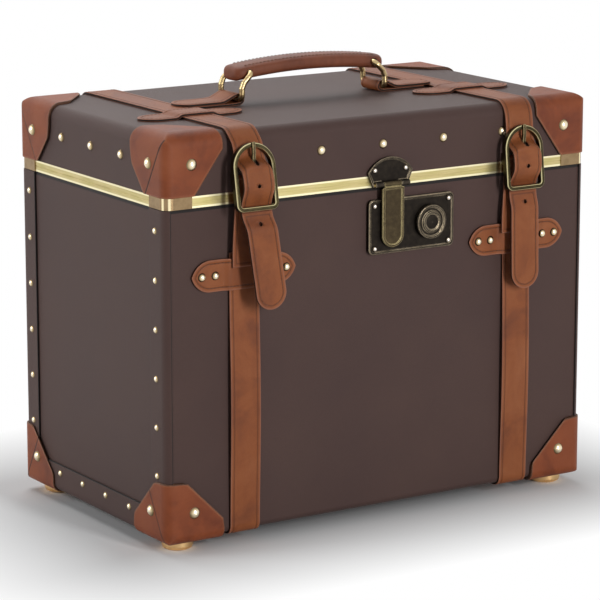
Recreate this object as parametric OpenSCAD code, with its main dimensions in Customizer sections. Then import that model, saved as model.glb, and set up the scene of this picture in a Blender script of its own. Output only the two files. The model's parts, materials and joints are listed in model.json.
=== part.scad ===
// Vanity case: a covered box with a hinged lid, two buckled leather straps, leather corners,
// a brass edge strip, a hasp lock and a carrying handle on two rings.
// Millimetres, +Z up, the front faces -Y, the feet stand on z = 0.

/* [Case] */
// Width of the box across its two ends
case_w = 380; // [350:1:460]
// Depth of the box from front to back
case_d = 222; // [190:1:280]
// Height of the base box
base_h = 250; // [220:1:320]
// Height of the lid from the split to its top
lid_h = 54; // [50:1:80]
// Thickness of the covered board
board = 4; // [3:0.5:6]
// Rounding of the upright edges
edge_r = 6; // [4:0.5:9]
// Rounding of the top edges of the lid
lid_top_r = 9; // [7:0.5:12]
// Rounding of the bottom edges of the base
base_bottom_r = 5; // [3:0.5:8]
// Gap between the closed lid and the base
split_gap = 0.4; // [0.3:0.1:0.8]
// Height of the feet under the box
foot_h = 10; // [8:0.5:16]
// Diameter of a foot
foot_d = 24; // [18:1:30]
// Distance from a foot's centre to the end and the front or back of the box
foot_in = 18; // [16:1:30]

/* [Lining] */
// Thickness of the fabric lining
lining = 1.5; // [1:0.1:2.5]
// Thickness of the lip inside the rim of the base
lip_t = 1.6; // [1.2:0.1:3]
// Height of the lip above the rim
lip_up = 6; // [3:0.5:8]
// Depth of the lip below the rim
lip_down = 14; // [8:1:20]
// Clearance between the lip and the lining of the lid
lip_gap = 0.7; // [0.5:0.1:1.2]

/* [Edge strip] */
// Height of the brass strip on the rim of the lid
valance_h = 8.7; // [6:0.1:12]
// Thickness of the brass strip
valance_t = 1.2; // [0.8:0.1:1.6]
// Depth of the rebate that the strip sits in
valance_in = 0.8; // [0.4:0.1:1.2]
// Width of the groove along the middle of the strip
valance_groove = 0.7; // [0.4:0.1:1.2]
// Length of a corner clip along each face
clip_len = 22; // [14:1:30]
// Thickness of a corner clip
clip_t = 1.9; // [1.5:0.1:2.5]

/* [Leather] */
// Thickness of the strap leather
strap_t = 2.2; // [1.6:0.1:2.6]
// Width of a strap
strap_w = 26; // [20:1:28]
// Distance of each strap's middle from the nearer end of the case
strap_in = 65.5; // [60:0.5:72]
// Thickness of the end bindings
binding_t = 1.5; // [1:0.1:2]
// Width of the end bindings
binding_w = 22; // [14:1:28]
// Length of the binding that turns round onto the front and the bottom
binding_wrap = 4; // [3:0.5:5]
// Thickness of the corner leather over the cover
corner_t = 3; // [2.4:0.1:3.6]
// Reach of the leather corners at the bottom
bottom_corner_r = 42; // [36:1:46]
// Reach of the leather corners on the lid
top_corner_r = 50; // [46:1:52]
// Distance of the slanting edge of a lid corner from the case's edge, just above the rim strip
top_corner_foot = 22; // [18:1:25]
// Length of a keeper tab from point to point
keeper_len = 90; // [80:1:96]
// Width of a keeper tab
keeper_w = 24; // [20:1:30]
// Length of the pointed end of a keeper tab
keeper_tip = 16; // [14:1:22]
// Distance from the rim of the base down to the middle of the front keepers
keeper_drop = 51.5; // [45:0.5:60]
// Distance of the lid keepers in front of the middle of the lid
top_keeper_y = 36; // [34:1:44]

/* [Studs] */
// Diameter of the studs on the lid
lid_stud_d = 7.6; // [5:0.2:9]
// Height of the studs on the lid
lid_stud_h = 2.2; // [1.5:0.1:3]
// Distance between studs along the front of the lid
lid_stud_pitch = 55.5; // [40:0.5:58]
// Distance between studs along the ends of the lid
lid_stud_pitch_end = 46; // [30:1:50]
// Height of the lid studs above the rim of the lid
lid_stud_up = 32.5; // [24:0.5:36]
// Diameter of the studs on the leather corners
corner_stud_d = 9; // [6:0.5:11]
// Distance of the corner studs from the edges of the case
corner_stud_in = 21; // [16:1:26]
// Diameter of the studs on the bindings
binding_stud_d = 5.6; // [4:0.2:7]
// Distance between studs along the upright bindings
binding_pitch = 37; // [30:1:50]
// Height of the top binding studs below the rim
binding_stud_drop = 16; // [12:1:24]
// Diameter of the studs on the keepers
keeper_stud_d = 6.6; // [5:0.2:8]

/* [Buckles] */
// Width of a buckle over its frame
buckle_w = 36; // [35:0.5:40]
// Height of a buckle over its frame
buckle_h = 50; // [46:0.5:54]
// Width of the frame's bar, seen from the front
frame_w = 3.4; // [2.8:0.1:4]
// Depth of the frame's bar, from its front to its back
frame_d = 5; // [4:0.1:5.2]
// Distance of the left buckle's arch out from the front
arch_out_left = 9.3; // [8.8:0.1:11]
// Distance of the right buckle's arch out from the front
arch_out_right = 7.5; // [7.3:0.1:9]
// Distance of the left buckle's foot out from the front
foot_out_left = 17.5; // [14:0.5:19]
// Distance of the right buckle's foot out from the front
foot_out_right = 12.5; // [11:0.5:15]
// Sideways shift of the left buckle towards the middle of the case
buckle_shift_left = 2; // [0:0.5:2.5]
// Bulge of each strap in front of its buckle's frame
strap_bulge = 5.2; // [4:0.1:6]
// Diameter of the bar that the strap crosses
buckle_bar = 2.4; // [2:0.1:2.6]
// Thickness of the leather that holds the buckle
chape_t = 1.6; // [1.2:0.1:1.8]
// Width of the leather that holds the buckle
chape_w = 25; // [20:0.5:26]
// Distance from the top of the lid to the top of the left buckle
buckle_drop_left = 8.5; // [7:0.5:14]
// Distance from the top of the lid to the top of the right buckle
buckle_drop_right = 17; // [10:0.5:18]
// Length of the left strap end below its buckle
tail_len_left = 72; // [60:1:80]
// Length of the right strap end below its buckle
tail_len_right = 76; // [60:1:80]
// Distance that the left strap end hangs out from the front
tail_out_left = 20; // [17:0.5:23]
// Distance that the right strap end hangs out from the front
tail_out_right = 12.5; // [11:0.5:17]
// Sideways drift of the left strap end at its tip
tail_drift_left = 12; // [4:0.5:13]
// Sideways drift of the right strap end at its tip
tail_drift_right = 1; // [0:0.5:6]
// Diameter of the holes in the straps
strap_hole_d = 3; // [2:0.2:4]
// Diameter of the prong
prong_d = 2.4; // [2:0.1:2.8]

/* [Hasp lock] */
// Sideways place of the hasp
hasp_x = 5; // [0:0.5:12]
// Width of the hasp tongue
hasp_w = 19.5; // [16:0.5:24]
// Length of the hasp tongue below its pin
hasp_len = 48.5; // [44:0.5:54]
// Thickness of the hasp tongue
hasp_t = 2; // [1.6:0.1:2.4]
// Diameter of the hasp pin
hasp_pin_d = 1.8; // [1.4:0.1:2.2]
// Width of the plate that carries the hasp
hasp_plate_w = 41; // [36:0.5:46]
// Height of the plate that carries the hasp
hasp_plate_h = 22.5; // [20:0.5:28]
// Sideways place of the lock plate
lock_x = 24; // [20:0.5:30]
// Width of the lock plate
lock_w = 78; // [72:0.5:88]
// Height of the lock plate
lock_h = 42; // [40:0.5:48]
// Distance from the rim of the base down to the middle of the lock plate
lock_drop = 30; // [28:0.5:34]
// Thickness of the lock plate
lock_t = 3.6; // [3.2:0.1:4]
// Sideways place of the lock button
button_x = 40.5; // [38:0.5:44]
// Diameter of the lock button
button_d = 27; // [24:0.5:30]
// Sideways travel of the lock button
button_travel = 4; // [2:0.5:5]

/* [Handle] */
// Distance of each ring's lower bar from the middle of the case
ring_x = 66; // [60:0.5:72]
// Width of a ring between the middles of its legs
ring_w = 31; // [28:0.5:36]
// Height of a ring between the middles of its bars
ring_h = 20; // [18:0.5:26]
// Distance that a ring's upper bar stands in towards the middle of the case
ring_in = 9; // [6:0.5:10]
// Diameter of the ring's rod
ring_rod = 4.4; // [3.6:0.1:5]
// Thickness of the handle grip
grip_t = 11.5; // [10:0.5:14]
// Width of the handle grip
grip_w = 25; // [20:0.5:26]
// Rise of the grip's middle over its ends
grip_rise = 3.3; // [3:0.1:12]
// Length of the grip beyond the upper bar of each ring
grip_end = 12; // [9:0.5:14]
// Slack of the right ring in the grip, along the grip
eye_slack = 1.4; // [1.2:0.1:2]
// Width of the leather that holds each ring
ring_chape_w = 24; // [18:0.5:25]
// Length of the leather that holds each ring, out from the ring
ring_chape_len = 52; // [48:1:54]

/* [Rear hinges] */
// Distance of each hinge from the middle of the case
hinge_x = 70; // [50:1:80]
// Width of a hinge
hinge_w = 36; // [28:1:44]
// Height of a hinge leaf
hinge_leaf = 20; // [16:1:24]
// Thickness of a hinge leaf
hinge_t = 1.6; // [1.2:0.1:1.8]
// Diameter of a hinge knuckle
knuckle_d = 5.2; // [4.6:0.1:5.6]
// Diameter of a hinge pin
hinge_pin_d = 2.6; // [2:0.1:3]
// Distance of the hinge pins behind the back of the box
hinge_out = 3.8; // [3.6:0.1:4.2]

/* [Inside] */
// Height of the lift-out tray
tray_h = 40; // [30:1:60]
// Thickness of the walls of the tray
tray_t = 2.4; // [2:0.2:4]
// Clearance round the tray
tray_gap = 1.5; // [1:0.1:3]
// Distance of the top of the tray below the rim
tray_drop = 5; // [3:0.5:12]
// Width of the ledges that carry the tray
ledge_w = 10; // [6:0.5:16]
// Height of the ledges that carry the tray
ledge_h = 8; // [6:0.5:14]
// Width of a tray pull
pull_w = 26; // [20:1:32]
// Height of a tray pull below the rim of the tray
pull_in = 8; // [6:0.5:12]
// Thickness of a tray pull
pull_t = 1.6; // [1.2:0.1:2.2]
// Diameter of the finger hole in a tray pull
pull_hole_d = 16; // [12:1:20]
// Width of the mirror in the lid
mirror_w = 210; // [160:1:240]
// Depth of the mirror in the lid
mirror_d = 130; // [100:1:150]
// Thickness of the mirror glass
mirror_t = 3; // [2:0.5:4]
// Width of the frame round the mirror
mirror_rim = 9; // [6:0.5:14]

/* [Hidden] */
$fn = 48;

// Clearances
fit = 0.3;
seat = 0.05;
far = 1000;

strap_x = case_w / 2 - strap_in;

// Levels
z_base = foot_h;
z_split = z_base + base_h;
z_lid = z_split + split_gap;
z_top = z_lid + lid_h;

// Depth: the whole model's box is centred on y = 0
front_reach = max(tail_out_left, tail_out_right) + strap_t / 2;
rear_reach = hinge_out + knuckle_d / 2;
case_y = (front_reach - rear_reach) / 2;
front_y = case_y - case_d / 2;
rear_y = case_y + case_d / 2;

// Colours
cover_colour = "#52403b";
leather_colour = "#9c5a34";
brass_colour = "#d6c878";
antique_colour = "#5a5140";
lining_colour = "#8d7f6a";
wood_colour = "#7a5638";

// Wall offsets from the outside of the box
inner = board + lining;
lip_out = inner + lip_gap;
lip_in = lip_out + lip_t;
lining_r = 3;

// The front straps: distances out from the front of the box, or from the middle of a buckle's frame
strap_out = fit + strap_t / 2;
frame_run = buckle_h - frame_w;
bar_in = 3.7;
bar_down = frame_run / 2;
bar_wrap = buckle_bar / 2 + 0.2;
prong_rest = 1.2;
strap_in_frame = frame_d / 2 + fit + strap_t / 2;
strap_cross = 11;
tail_down = frame_run + frame_w / 2 + strap_t / 2 + 0.7;
tail_bend = 13;
keeper_out = 2 * strap_t + seat + 0.1;
chape_over_keeper = keeper_out + fit + chape_t / 2;
keeper_z = z_split - keeper_drop;
strap_turn_d = strap_t - 0.04;
flap_r = lid_top_r + strap_out;
flap_y = front_y + lid_top_r - flap_r * cos(45);
flap_z = z_top - lid_top_r + flap_r * sin(45);

// The lock and hasp
lock_z = z_split - lock_drop;
pin_z = z_lid + 2.1;
hasp_knuckle = 4.4;
lock_rim = 0.6;
hasp_back = lock_t + lock_rim + fit;
pin_out = hasp_back + 0.2;
nib_up = 9;
lock_cavity = 2.2;
bolt_z = 10;
stem_d = 6;

// The handle
ring_z = z_top + ring_rod / 2 + fit + strap_t + fit;
ring_bore = ring_rod / 2 + fit;
grip_z = ring_z + ring_h;
grip_x = ring_x - ring_in;

// The tray
tray_in = lip_in + tray_gap;
tray_top = z_split - tray_drop;
tray_z = tray_top - tray_h;

// Points along an arc
function arc_points(c, r, a0, a1, n) =
  [for (i = [0:n]) c + r * [cos(a0 + (a1 - a0) * i / n), sin(a0 + (a1 - a0) * i / n)]];
function unit(v) = v / norm(v);
function turn_left(v) = [-v[1], v[0]];
// Sideways step at a point of a path, longer where the path bends
function side_step(p, i) =
  let (last = len(p) - 1,
       a = i == 0 ? unit(p[1] - p[0]) : unit(p[i] - p[i - 1]),
       b = i == last ? a : unit(p[i + 1] - p[i]),
       m = unit(a + b))
  turn_left(m) / (m * a);
// Outline of a sheet of thickness t that follows a path
function sheet_outline(p, t) = concat(
  [for (i = [0:len(p) - 1]) p[i] + side_step(p, i) * t / 2],
  [for (i = [len(p) - 1:-1:0]) p[i] - side_step(p, i) * t / 2]);
// Points of a smooth run between two points, level at both ends
function ease_points(p0, p1, n) =
  [for (i = [0:n]) [p0[0] + (p1[0] - p0[0]) * (1 - cos(180 * i / n)) / 2, p0[1] + (p1[1] - p0[1]) * i / n]];
// Points of a curve between two points that leaves along t0 and arrives along t1
function curve_points(p0, t0, p1, t1, n) =
  let (d = norm(p1 - p0) / 3)
  [for (i = [0:n]) let (k = i / n, m = 1 - k)
    m * m * m * p0 + 3 * m * m * k * (p0 + d * t0) + 3 * m * k * k * (p1 - d * t1) + k * k * k * p1];
// Outline of a strip of width w whose middle runs through the given places
function strip_outline(middle, w) = concat(
  [for (p = middle) p + [w / 2, 0]],
  [for (i = [len(middle) - 1:-1:0]) middle[i] - [w / 2, 0]]);
// From distance out of the front and height to the y and z of the model
function from_front(p) = [for (q = p) [front_y - q[0], q[1]]];

// Rectangle with rounded corners, at the bottom pair and the top pair apart
module round_rect(w, z0, z1, rb, rt) {
  translate([-w / 2, z0 + rb]) square([w, z1 - z0 - rb - rt]);
  if (rb > 0) {
    translate([-w / 2 + rb, z0]) square([w - 2 * rb, rb + 0.01]);
    for (s = [-1, 1]) translate([s * (w / 2 - rb), z0 + rb]) circle(r = rb);
  }
  if (rt > 0) {
    translate([-w / 2 + rt, z1 - rt - 0.01]) square([w - 2 * rt, rt + 0.01]);
    for (s = [-1, 1]) translate([s * (w / 2 - rt), z1 - rt]) circle(r = rt);
  }
}

// A yz outline drawn out along x, a width w about x = 0
module along_x(w) {
  translate([-w / 2, 0, 0]) rotate([90, 0, 90]) linear_extrude(w) children();
}

// An xz outline drawn out along y, a depth d about y = 0
module along_y(d) {
  rotate([90, 0, 0]) linear_extrude(d, center = true) children();
}

// Block with rounded upright, bottom and top edges, about the middle of the case
module round_block(w, d, z0, z1, rv, rb, rt) {
  translate([0, case_y, 0]) intersection() {
    translate([0, 0, z0]) linear_extrude(z1 - z0) round_rect(w, -d / 2, d / 2, rv, rv);
    along_y(d + 2) round_rect(w, z0, z1, rb, rt);
    along_x(w + 2) round_rect(d, z0, z1, rb, rt);
  }
}

// Outside of the base box, grown by g, and of the lid
module base_block(g) {
  round_block(case_w + 2 * g, case_d + 2 * g, z_base - g, z_split, edge_r + g, base_bottom_r + g, 0);
}
module lid_block(g) {
  round_block(case_w + 2 * g, case_d + 2 * g, z_lid, z_top + g, edge_r + g, 0, lid_top_r + g);
}

// Places children at the four upright edges, as mirror images of the one at the left front
module at_four_corners() {
  for (sx = [0, 1], sy = [0, 1])
    translate([0, case_y, 0]) mirror([sx, 0, 0]) mirror([0, sy, 0]) children();
}

// Domed stud along +Z with its rim on z = 0
module stud(d, h) {
  r = (d * d / 4 + h * h) / (2 * h);
  intersection() {
    translate([0, 0, h - r]) sphere(r = r);
    cylinder(d = d, h = h);
  }
}
module stud_front(x, out, z, d, h) {
  translate([x, front_y - out, z]) rotate([90, 0, 0]) stud(d, h);
}
module stud_rear(x, out, z, d, h) {
  translate([x, rear_y + out, z]) rotate([-90, 0, 0]) stud(d, h);
}
module stud_end(side, y, out, z, d, h) {
  translate([side * (case_w / 2 + out), y, z]) rotate([0, side * 90, 0]) stud(d, h);
}

// Rod bent through a quarter turn of radius r in the xy plane, from +X to +Y
module rod_bend(r, d) {
  rotate_extrude(angle = 90) translate([r, 0]) circle(d = d);
}

module base_shell() {
  color(cover_colour) difference() {
    base_block(0);
    translate([-case_w / 2 + board, front_y + board, z_base + board])
      cube([case_w - 2 * board, case_d - 2 * board, base_h]);
  }
}

// Lining of a box open at one end, inside the board
module lining_box(z0, z1, floor_z0, floor_z1) {
  w = case_w - 2 * board - 2 * seat;
  d = case_d - 2 * board - 2 * seat;
  difference() {
    translate([-w / 2, case_y - d / 2, z0]) cube([w, d, z1 - z0]);
    translate([0, case_y, floor_z0]) linear_extrude(floor_z1 - floor_z0)
      round_rect(case_w - 2 * inner, -case_d / 2 + inner, case_d / 2 - inner, lining_r, lining_r);
  }
}
module base_lining() {
  color(lining_colour)
    lining_box(z_base + board + seat, z_split, z_base + inner, z_split + 1);
}

module base_lip() {
  color("#6b4a38") translate([0, case_y, z_split - lip_down]) linear_extrude(lip_down + lip_up)
    difference() {
      round_rect(case_w - 2 * lip_out, -case_d / 2 + lip_out, case_d / 2 - lip_out, 3, 3);
      round_rect(case_w - 2 * lip_in, -case_d / 2 + lip_in, case_d / 2 - lip_in, 2, 2);
    }
}

// Raised binding round three sides of an end face, turned round its edges
module end_binding(side) {
  color(cover_colour) difference() {
    intersection() {
      base_block(binding_t);
      translate([side * (case_w / 2 - binding_wrap + far / 2), 0, 0]) cube(far, center = true);
    }
    base_block(seat);
    translate([side * case_w / 2, case_y, z_base + binding_w])
      translate([-binding_w, -case_d / 2 + binding_w, 0])
        cube([2 * binding_w, case_d - 2 * binding_w, base_h]);
  }
}

// Centre of the ball that cuts a bottom corner's outline: in from the faces and up from the bottom
bottom_corner_in = 6;
bottom_corner_up = 4;
// Slanting cut of a bottom corner: its distance from the point of the box and the plane's tilt
bottom_corner_cut = bottom_corner_r * 0.78;
diagonal = atan(1 / sqrt(2));

// Heights of the studs on the upright bindings and places of those along the bottom
binding_lowest = z_base + bottom_corner_up + bottom_corner_r + binding_stud_d / 2;
binding_levels = [for (z = z_split - binding_stud_drop; z > binding_lowest; z = z - binding_pitch) z];
binding_rows = [for (y = [-1.5:1:1.5]) y * (case_d - 2 * corner_stud_in - 34) / 4];
module binding_studs() {
  h = 1.5;
  color(brass_colour) for (side = [-1, 1]) {
    for (s = [-1, 1], z = binding_levels)
      stud_end(side, case_y + s * (case_d / 2 - 0.6 * binding_w), binding_t, z, binding_stud_d, h);
    for (y = binding_rows)
      stud_end(side, case_y + y, binding_t, z_base + 0.68 * binding_w, binding_stud_d, h);
  }
}

// Leather corner at the left front of the base, about the middle of the case in y
module bottom_corner() {
  seam_t = 0.8;
  difference() {
    intersection() {
      translate([0, -case_y, 0]) base_block(corner_t);
      translate([-case_w / 2 + bottom_corner_in, -case_d / 2 + bottom_corner_in, z_base + bottom_corner_up])
        sphere(r = bottom_corner_r);
      // Straight edge of the patch: one slanting plane cuts all three faces
      translate([-case_w / 2, -case_d / 2, z_base]) rotate([0, -diagonal, 45])
        translate([-far, -far / 2, -far / 2]) cube([far + bottom_corner_cut, far, far]);
    }
    translate([0, -case_y, 0]) base_block(seat);
    translate([0, -case_y, 0]) end_binding_cut();
    // Fold of the leather on the end
    translate([-case_w / 2 - corner_t, -case_d / 2 + 2, z_base - 1]) rotate([-29, 0, 0])
      translate([-1, 0, 0]) cube([1 + seam_t, seam_t, 40]);
  }
}
// Space that an end binding takes, with its seat
module end_binding_cut() {
  difference() {
    intersection() {
      base_block(binding_t + seat);
      translate([-case_w / 2 + binding_wrap + seat - far / 2, 0, 0]) cube(far, center = true);
    }
    translate([-case_w / 2 - binding_w, front_y + binding_w + seat, z_base + binding_w + seat])
      cube([2 * binding_w, case_d - 2 * binding_w - 2 * seat, base_h]);
  }
}
module bottom_corners() {
  color(leather_colour) at_four_corners() bottom_corner();
}
module bottom_corner_studs() {
  z = z_base + 21;
  color(brass_colour) for (side = [-1, 1]) {
    x = side * (case_w / 2 - corner_stud_in);
    stud_front(x, corner_t, z, corner_stud_d, 2.4);
    stud_rear(x, corner_t, z, corner_stud_d, 2.4);
    for (s = [-1, 1])
      stud_end(side, case_y + s * (case_d / 2 - corner_stud_in), corner_t, z, corner_stud_d, 2.4);
  }
}

module feet() {
  h = foot_h - corner_t - seat;
  color(brass_colour) for (sx = [-1, 1], sy = [-1, 1])
    translate([sx * (case_w / 2 - foot_in), case_y + sy * (case_d / 2 - foot_in), 0])
      rotate_extrude() polygon([[0, 0], [foot_d / 2 - 2.5, 0], [foot_d / 2 - 0.8, 1],
        [foot_d / 2, 2.8], [foot_d / 2, h], [0, h]]);
}

// Strap from under the keeper down the front, under the box and up the back
module body_strap(side) {
  top = keeper_z + keeper_w / 2 + 4;
  color(leather_colour) translate([side * strap_x, 0, 0]) translate([0, case_y, 0]) along_x(strap_w)
    difference() {
      round_rect(case_d + 2 * strap_t, z_base - strap_t, z_split - 3, base_bottom_r + strap_t, 0);
      round_rect(case_d + 2 * seat, z_base - seat, z_split, base_bottom_r + seat, 0);
      translate([-case_d, top]) square([case_d, base_h]);
    }
}

// Outline of a tab with a pointed arch at each end
module pointed_tab(l, w, tip) {
  r = (tip * tip + w * w / 4) / w;
  square([l - 2 * tip, w], center = true);
  for (s = [0, 1]) mirror([s, 0]) translate([l / 2 - tip - 0.01, 0]) intersection() {
    translate([0, r - w / 2]) circle(r = r);
    translate([0, w / 2 - r]) circle(r = r);
    translate([0, -w / 2]) square([tip + 1, w]);
  }
}
// Tab over a strap, lying in the xy plane with its back at z = 0
module keeper_tab() {
  rise = strap_t + 0.1;
  half = strap_w / 2 + 0.6;
  slope = 4;
  path = [[-keeper_len / 2, strap_t / 2], [-half - slope, strap_t / 2], [-half, strap_t / 2 + rise],
          [half, strap_t / 2 + rise], [half + slope, strap_t / 2], [keeper_len / 2, strap_t / 2]];
  intersection() {
    along_y(keeper_w + 2) polygon(sheet_outline(path, strap_t - 2 * seat));
    linear_extrude(3 * strap_t) pointed_tab(keeper_len, keeper_w, keeper_tip);
  }
}
module keeper(side) {
  color(leather_colour) translate([side * strap_x, front_y, keeper_z]) rotate([90, 0, 0]) keeper_tab();
}
module top_keeper(side) {
  color(leather_colour) translate([side * strap_x, case_y - top_keeper_y, z_top]) keeper_tab();
}
module keeper_studs() {
  far_stud = keeper_len / 2 - 8.5;
  near_stud = keeper_len / 2 - 20;
  color(brass_colour) for (side = [-1, 1], s = [-1, 1], d = [near_stud, far_stud])
    stud_front(side * strap_x + s * d, strap_t, keeper_z, keeper_stud_d, 2.2);
}

// Lock: plate with a raised rim, a slot for the hasp's nib and a slot for the button's stem
module lock_outline(g) {
  r = 4;
  translate([lock_x, lock_z]) round_rect(lock_w + 2 * g, -lock_h / 2 - g, lock_h / 2 + g, r, r);
}
nib_z = pin_z - hasp_len + nib_up;
slot_z0 = nib_z - 2.8;
slot_h = 19;
nib_slot_w = 6;
stem_slot_w = stem_d + 0.8;
module lock_plate() {
  rim = 2;
  color(antique_colour) translate([0, front_y, 0]) rotate([90, 0, 0]) difference() {
    union() {
      translate([0, 0, seat]) linear_extrude(lock_t - seat) lock_outline(0);
      translate([0, 0, lock_t - 0.01]) linear_extrude(lock_rim) difference() {
        lock_outline(-0.4);
        lock_outline(-rim);
      }
    }
    // Hollow for the bolt
    translate([hasp_x - nib_slot_w / 2 - 1, slot_z0 - 1, -1])
      cube([button_x + button_travel + bolt_z - hasp_x, slot_h + 2, 1 + lock_cavity]);
    translate([hasp_x - nib_slot_w / 2, slot_z0, -1]) cube([nib_slot_w, slot_h, far]);
    translate([button_x - stem_slot_w / 2, lock_z - stem_slot_w / 2, -1])
      cube([stem_slot_w + button_travel, stem_slot_w, far]);
  }
}
module lock_rivets() {
  color(brass_colour) for (sx = [-1, 1], sz = [-1, 1])
    stud_front(lock_x + sx * (lock_w / 2 - 5), lock_t + seat, lock_z + sz * (lock_h / 2 - 4.6), 4.6, 1.8);
}
module lock_button() {
  base = lock_t + lock_rim + fit;
  r = button_d / 2;
  // Rim round the edge and a bead round the middle, each with a bevelled side
  rim = 0.2 * r;
  bead = 0.36 * r;
  bevel = 0.05 * r;
  color(antique_colour) translate([button_x, front_y, lock_z]) rotate([90, 0, 0]) {
    translate([0, 0, base]) rotate_extrude() polygon([[0, 0], [r, 0], [r, 2.2], [r - bevel, 3.2],
      [r - rim + bevel, 3.2], [r - rim, 2.2], [r - bead, 2.2], [r - bead - bevel, 3.6],
      [r - bead - 3 * bevel, 3.6], [r - bead - 4 * bevel, 3], [0, 3.4]]);
    translate([0, 0, lock_cavity]) cylinder(d = stem_d, h = base - lock_cavity + 0.01);
  }
}
// Bar behind the lock plate that the button pushes, ending beside the slot for the nib
module lock_bolt() {
  x0 = hasp_x + 3.4;
  color(brass_colour) translate([0, front_y, 0]) rotate([90, 0, 0])
    translate([x0, lock_z - bolt_z / 2, fit]) cube([button_x + bolt_z / 2 - x0, bolt_z, lock_cavity - fit]);
}

// Rear hinges
knuckle_end = hinge_w * 0.3;
knuckle_gap = 0.25;
pin_bore = hinge_pin_d + 0.3;
// Barrel with the web that joins it to its leaf, which reaches up or down
module hinge_knuckle(x0, x1, up, back) {
  difference() {
    union() {
      translate([x0, rear_y + hinge_out, z_split]) rotate([0, 90, 0]) cylinder(d = knuckle_d, h = x1 - x0);
      translate([x0, rear_y + back, up ? z_split : z_split - knuckle_d])
        cube([x1 - x0, hinge_out - back, knuckle_d]);
    }
    translate([x0 - 1, rear_y + hinge_out, z_split]) rotate([0, 90, 0])
      cylinder(d = pin_bore, h = x1 - x0 + 2);
    translate([x0 - 1, rear_y + back + hinge_t, up ? z_split + knuckle_d / 2 : z_split - 3 * knuckle_d / 2])
      cube([x1 - x0 + 2, far, knuckle_d]);
  }
}
module hinge_base_leaf() {
  translate([-hinge_w / 2, rear_y + seat, z_split - hinge_leaf])
    cube([hinge_w, hinge_t - seat, hinge_leaf - knuckle_d / 2]);
  for (s = [0, 1]) mirror([s, 0, 0])
    hinge_knuckle(-hinge_w / 2, -hinge_w / 2 + knuckle_end, false, seat);
}
module hinge_lid_leaf() {
  back = valance_t - valance_in + seat;
  z0 = z_split + knuckle_d / 2 + 0.1;
  translate([-hinge_w / 2, rear_y + back, z0]) cube([hinge_w, hinge_t - seat, hinge_leaf - knuckle_d / 2]);
  half = hinge_w / 2 - knuckle_end - knuckle_gap;
  hinge_knuckle(-half, half, true, back);
}
module hinge_base_leaves() {
  color(brass_colour) for (s = [-1, 1]) translate([s * hinge_x, 0, 0]) hinge_base_leaf();
}
module hinge_lid_leaves() {
  color(brass_colour) for (s = [-1, 1]) translate([s * hinge_x, 0, 0]) hinge_lid_leaf();
}
module hinge_pins() {
  color(brass_colour) for (s = [-1, 1])
    translate([s * hinge_x - hinge_w / 2, rear_y + hinge_out, z_split]) rotate([0, 90, 0])
      cylinder(d = hinge_pin_d, h = hinge_w);
}
module hinge_rivet_row(out, z) {
  color(brass_colour) for (s = [-1, 1], d = [-1, 0, 1])
    stud_rear(s * hinge_x + d * (hinge_w / 2 - 5), out, z, 4, 1.2);
}
module hinge_base_rivets() {
  hinge_rivet_row(hinge_t + seat, z_split - hinge_leaf + 5);
}
module hinge_lid_rivets() {
  hinge_rivet_row(valance_t - valance_in + hinge_t + seat, z_split + hinge_leaf - 5);
}

// Inside the base
module tray_ledges() {
  w = case_w - 2 * inner - 2 * seat;
  d = case_d - 2 * inner - 2 * seat;
  color(wood_colour) translate([0, case_y, tray_z - seat - ledge_h]) linear_extrude(ledge_h)
    difference() {
      round_rect(w, -d / 2, d / 2, lining_r, lining_r);
      square([w - 2 * ledge_w, 2 * d], center = true);
    }
}
module tray() {
  w = case_w - 2 * tray_in;
  d = case_d - 2 * tray_in;
  color("#a08a68") difference() {
    translate([0, case_y, tray_z]) linear_extrude(tray_h) round_rect(w, -d / 2, d / 2, 4, 4);
    // One long space at the back and three at the front
    for (i = [0:2])
      tray_space(-w / 2 + tray_t + i * (w - tray_t) / 3, (w - tray_t) / 3 - tray_t,
                 -d / 2 + tray_t, d / 2 - 1.5 * tray_t);
    tray_space(-w / 2 + tray_t, w - 2 * tray_t, tray_t / 2, d / 2 - 1.5 * tray_t);
  }
}
module tray_space(x0, w, y0, d) {
  translate([x0 + w / 2, case_y, tray_z + tray_t]) linear_extrude(tray_h)
    round_rect(w, y0, y0 + d, 3, 3);
}
// Two leather loops to lift the tray by, on the end walls
module tray_pulls() {
  w = case_w - 2 * tray_in;
  color(leather_colour) for (s = [-1, 1])
    translate([s * (w / 2 - tray_t - seat - pull_t / 2), case_y + case_d / 8, tray_z + tray_h - pull_in])
      rotate([90, 0, 90]) linear_extrude(pull_t, center = true) difference() {
        union() {
          translate([-pull_w / 2, -pull_in]) square([pull_w, 2 * pull_in]);
          translate([0, pull_in]) circle(d = pull_w);
        }
        translate([0, pull_in]) circle(d = pull_hole_d);
      }
}

// Lid
module lid_shell() {
  color(cover_colour) difference() {
    lid_block(0);
    translate([-case_w / 2 + board, front_y + board, z_lid - 1])
      cube([case_w - 2 * board, case_d - 2 * board, 1 + lid_h - board]);
    // Rebate for the edge strip, outside and under the rim
    difference() {
      translate([-far / 2, -far / 2, z_lid - 1]) cube([far, far, 1 + valance_h + seat]);
      round_block(case_w - 2 * valance_in, case_d - 2 * valance_in, z_lid + 1, z_top,
                  edge_r - valance_in, 0, 0);
    }
  }
}
module lid_lining() {
  color(lining_colour)
    lining_box(z_lid + 2, z_top - board - seat, z_lid - 1, z_top - inner);
}
// Edge strip: a face with a fine groove and a foot under the rim, drawn in section
module valance_section() {
  difference() {
    union() {
      square([valance_t - seat, valance_h]);
      square([board - 0.3, 0.9]);
    }
    translate([-0.01, valance_h / 2 - valance_groove / 2]) square([0.45, valance_groove]);
  }
}
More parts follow.
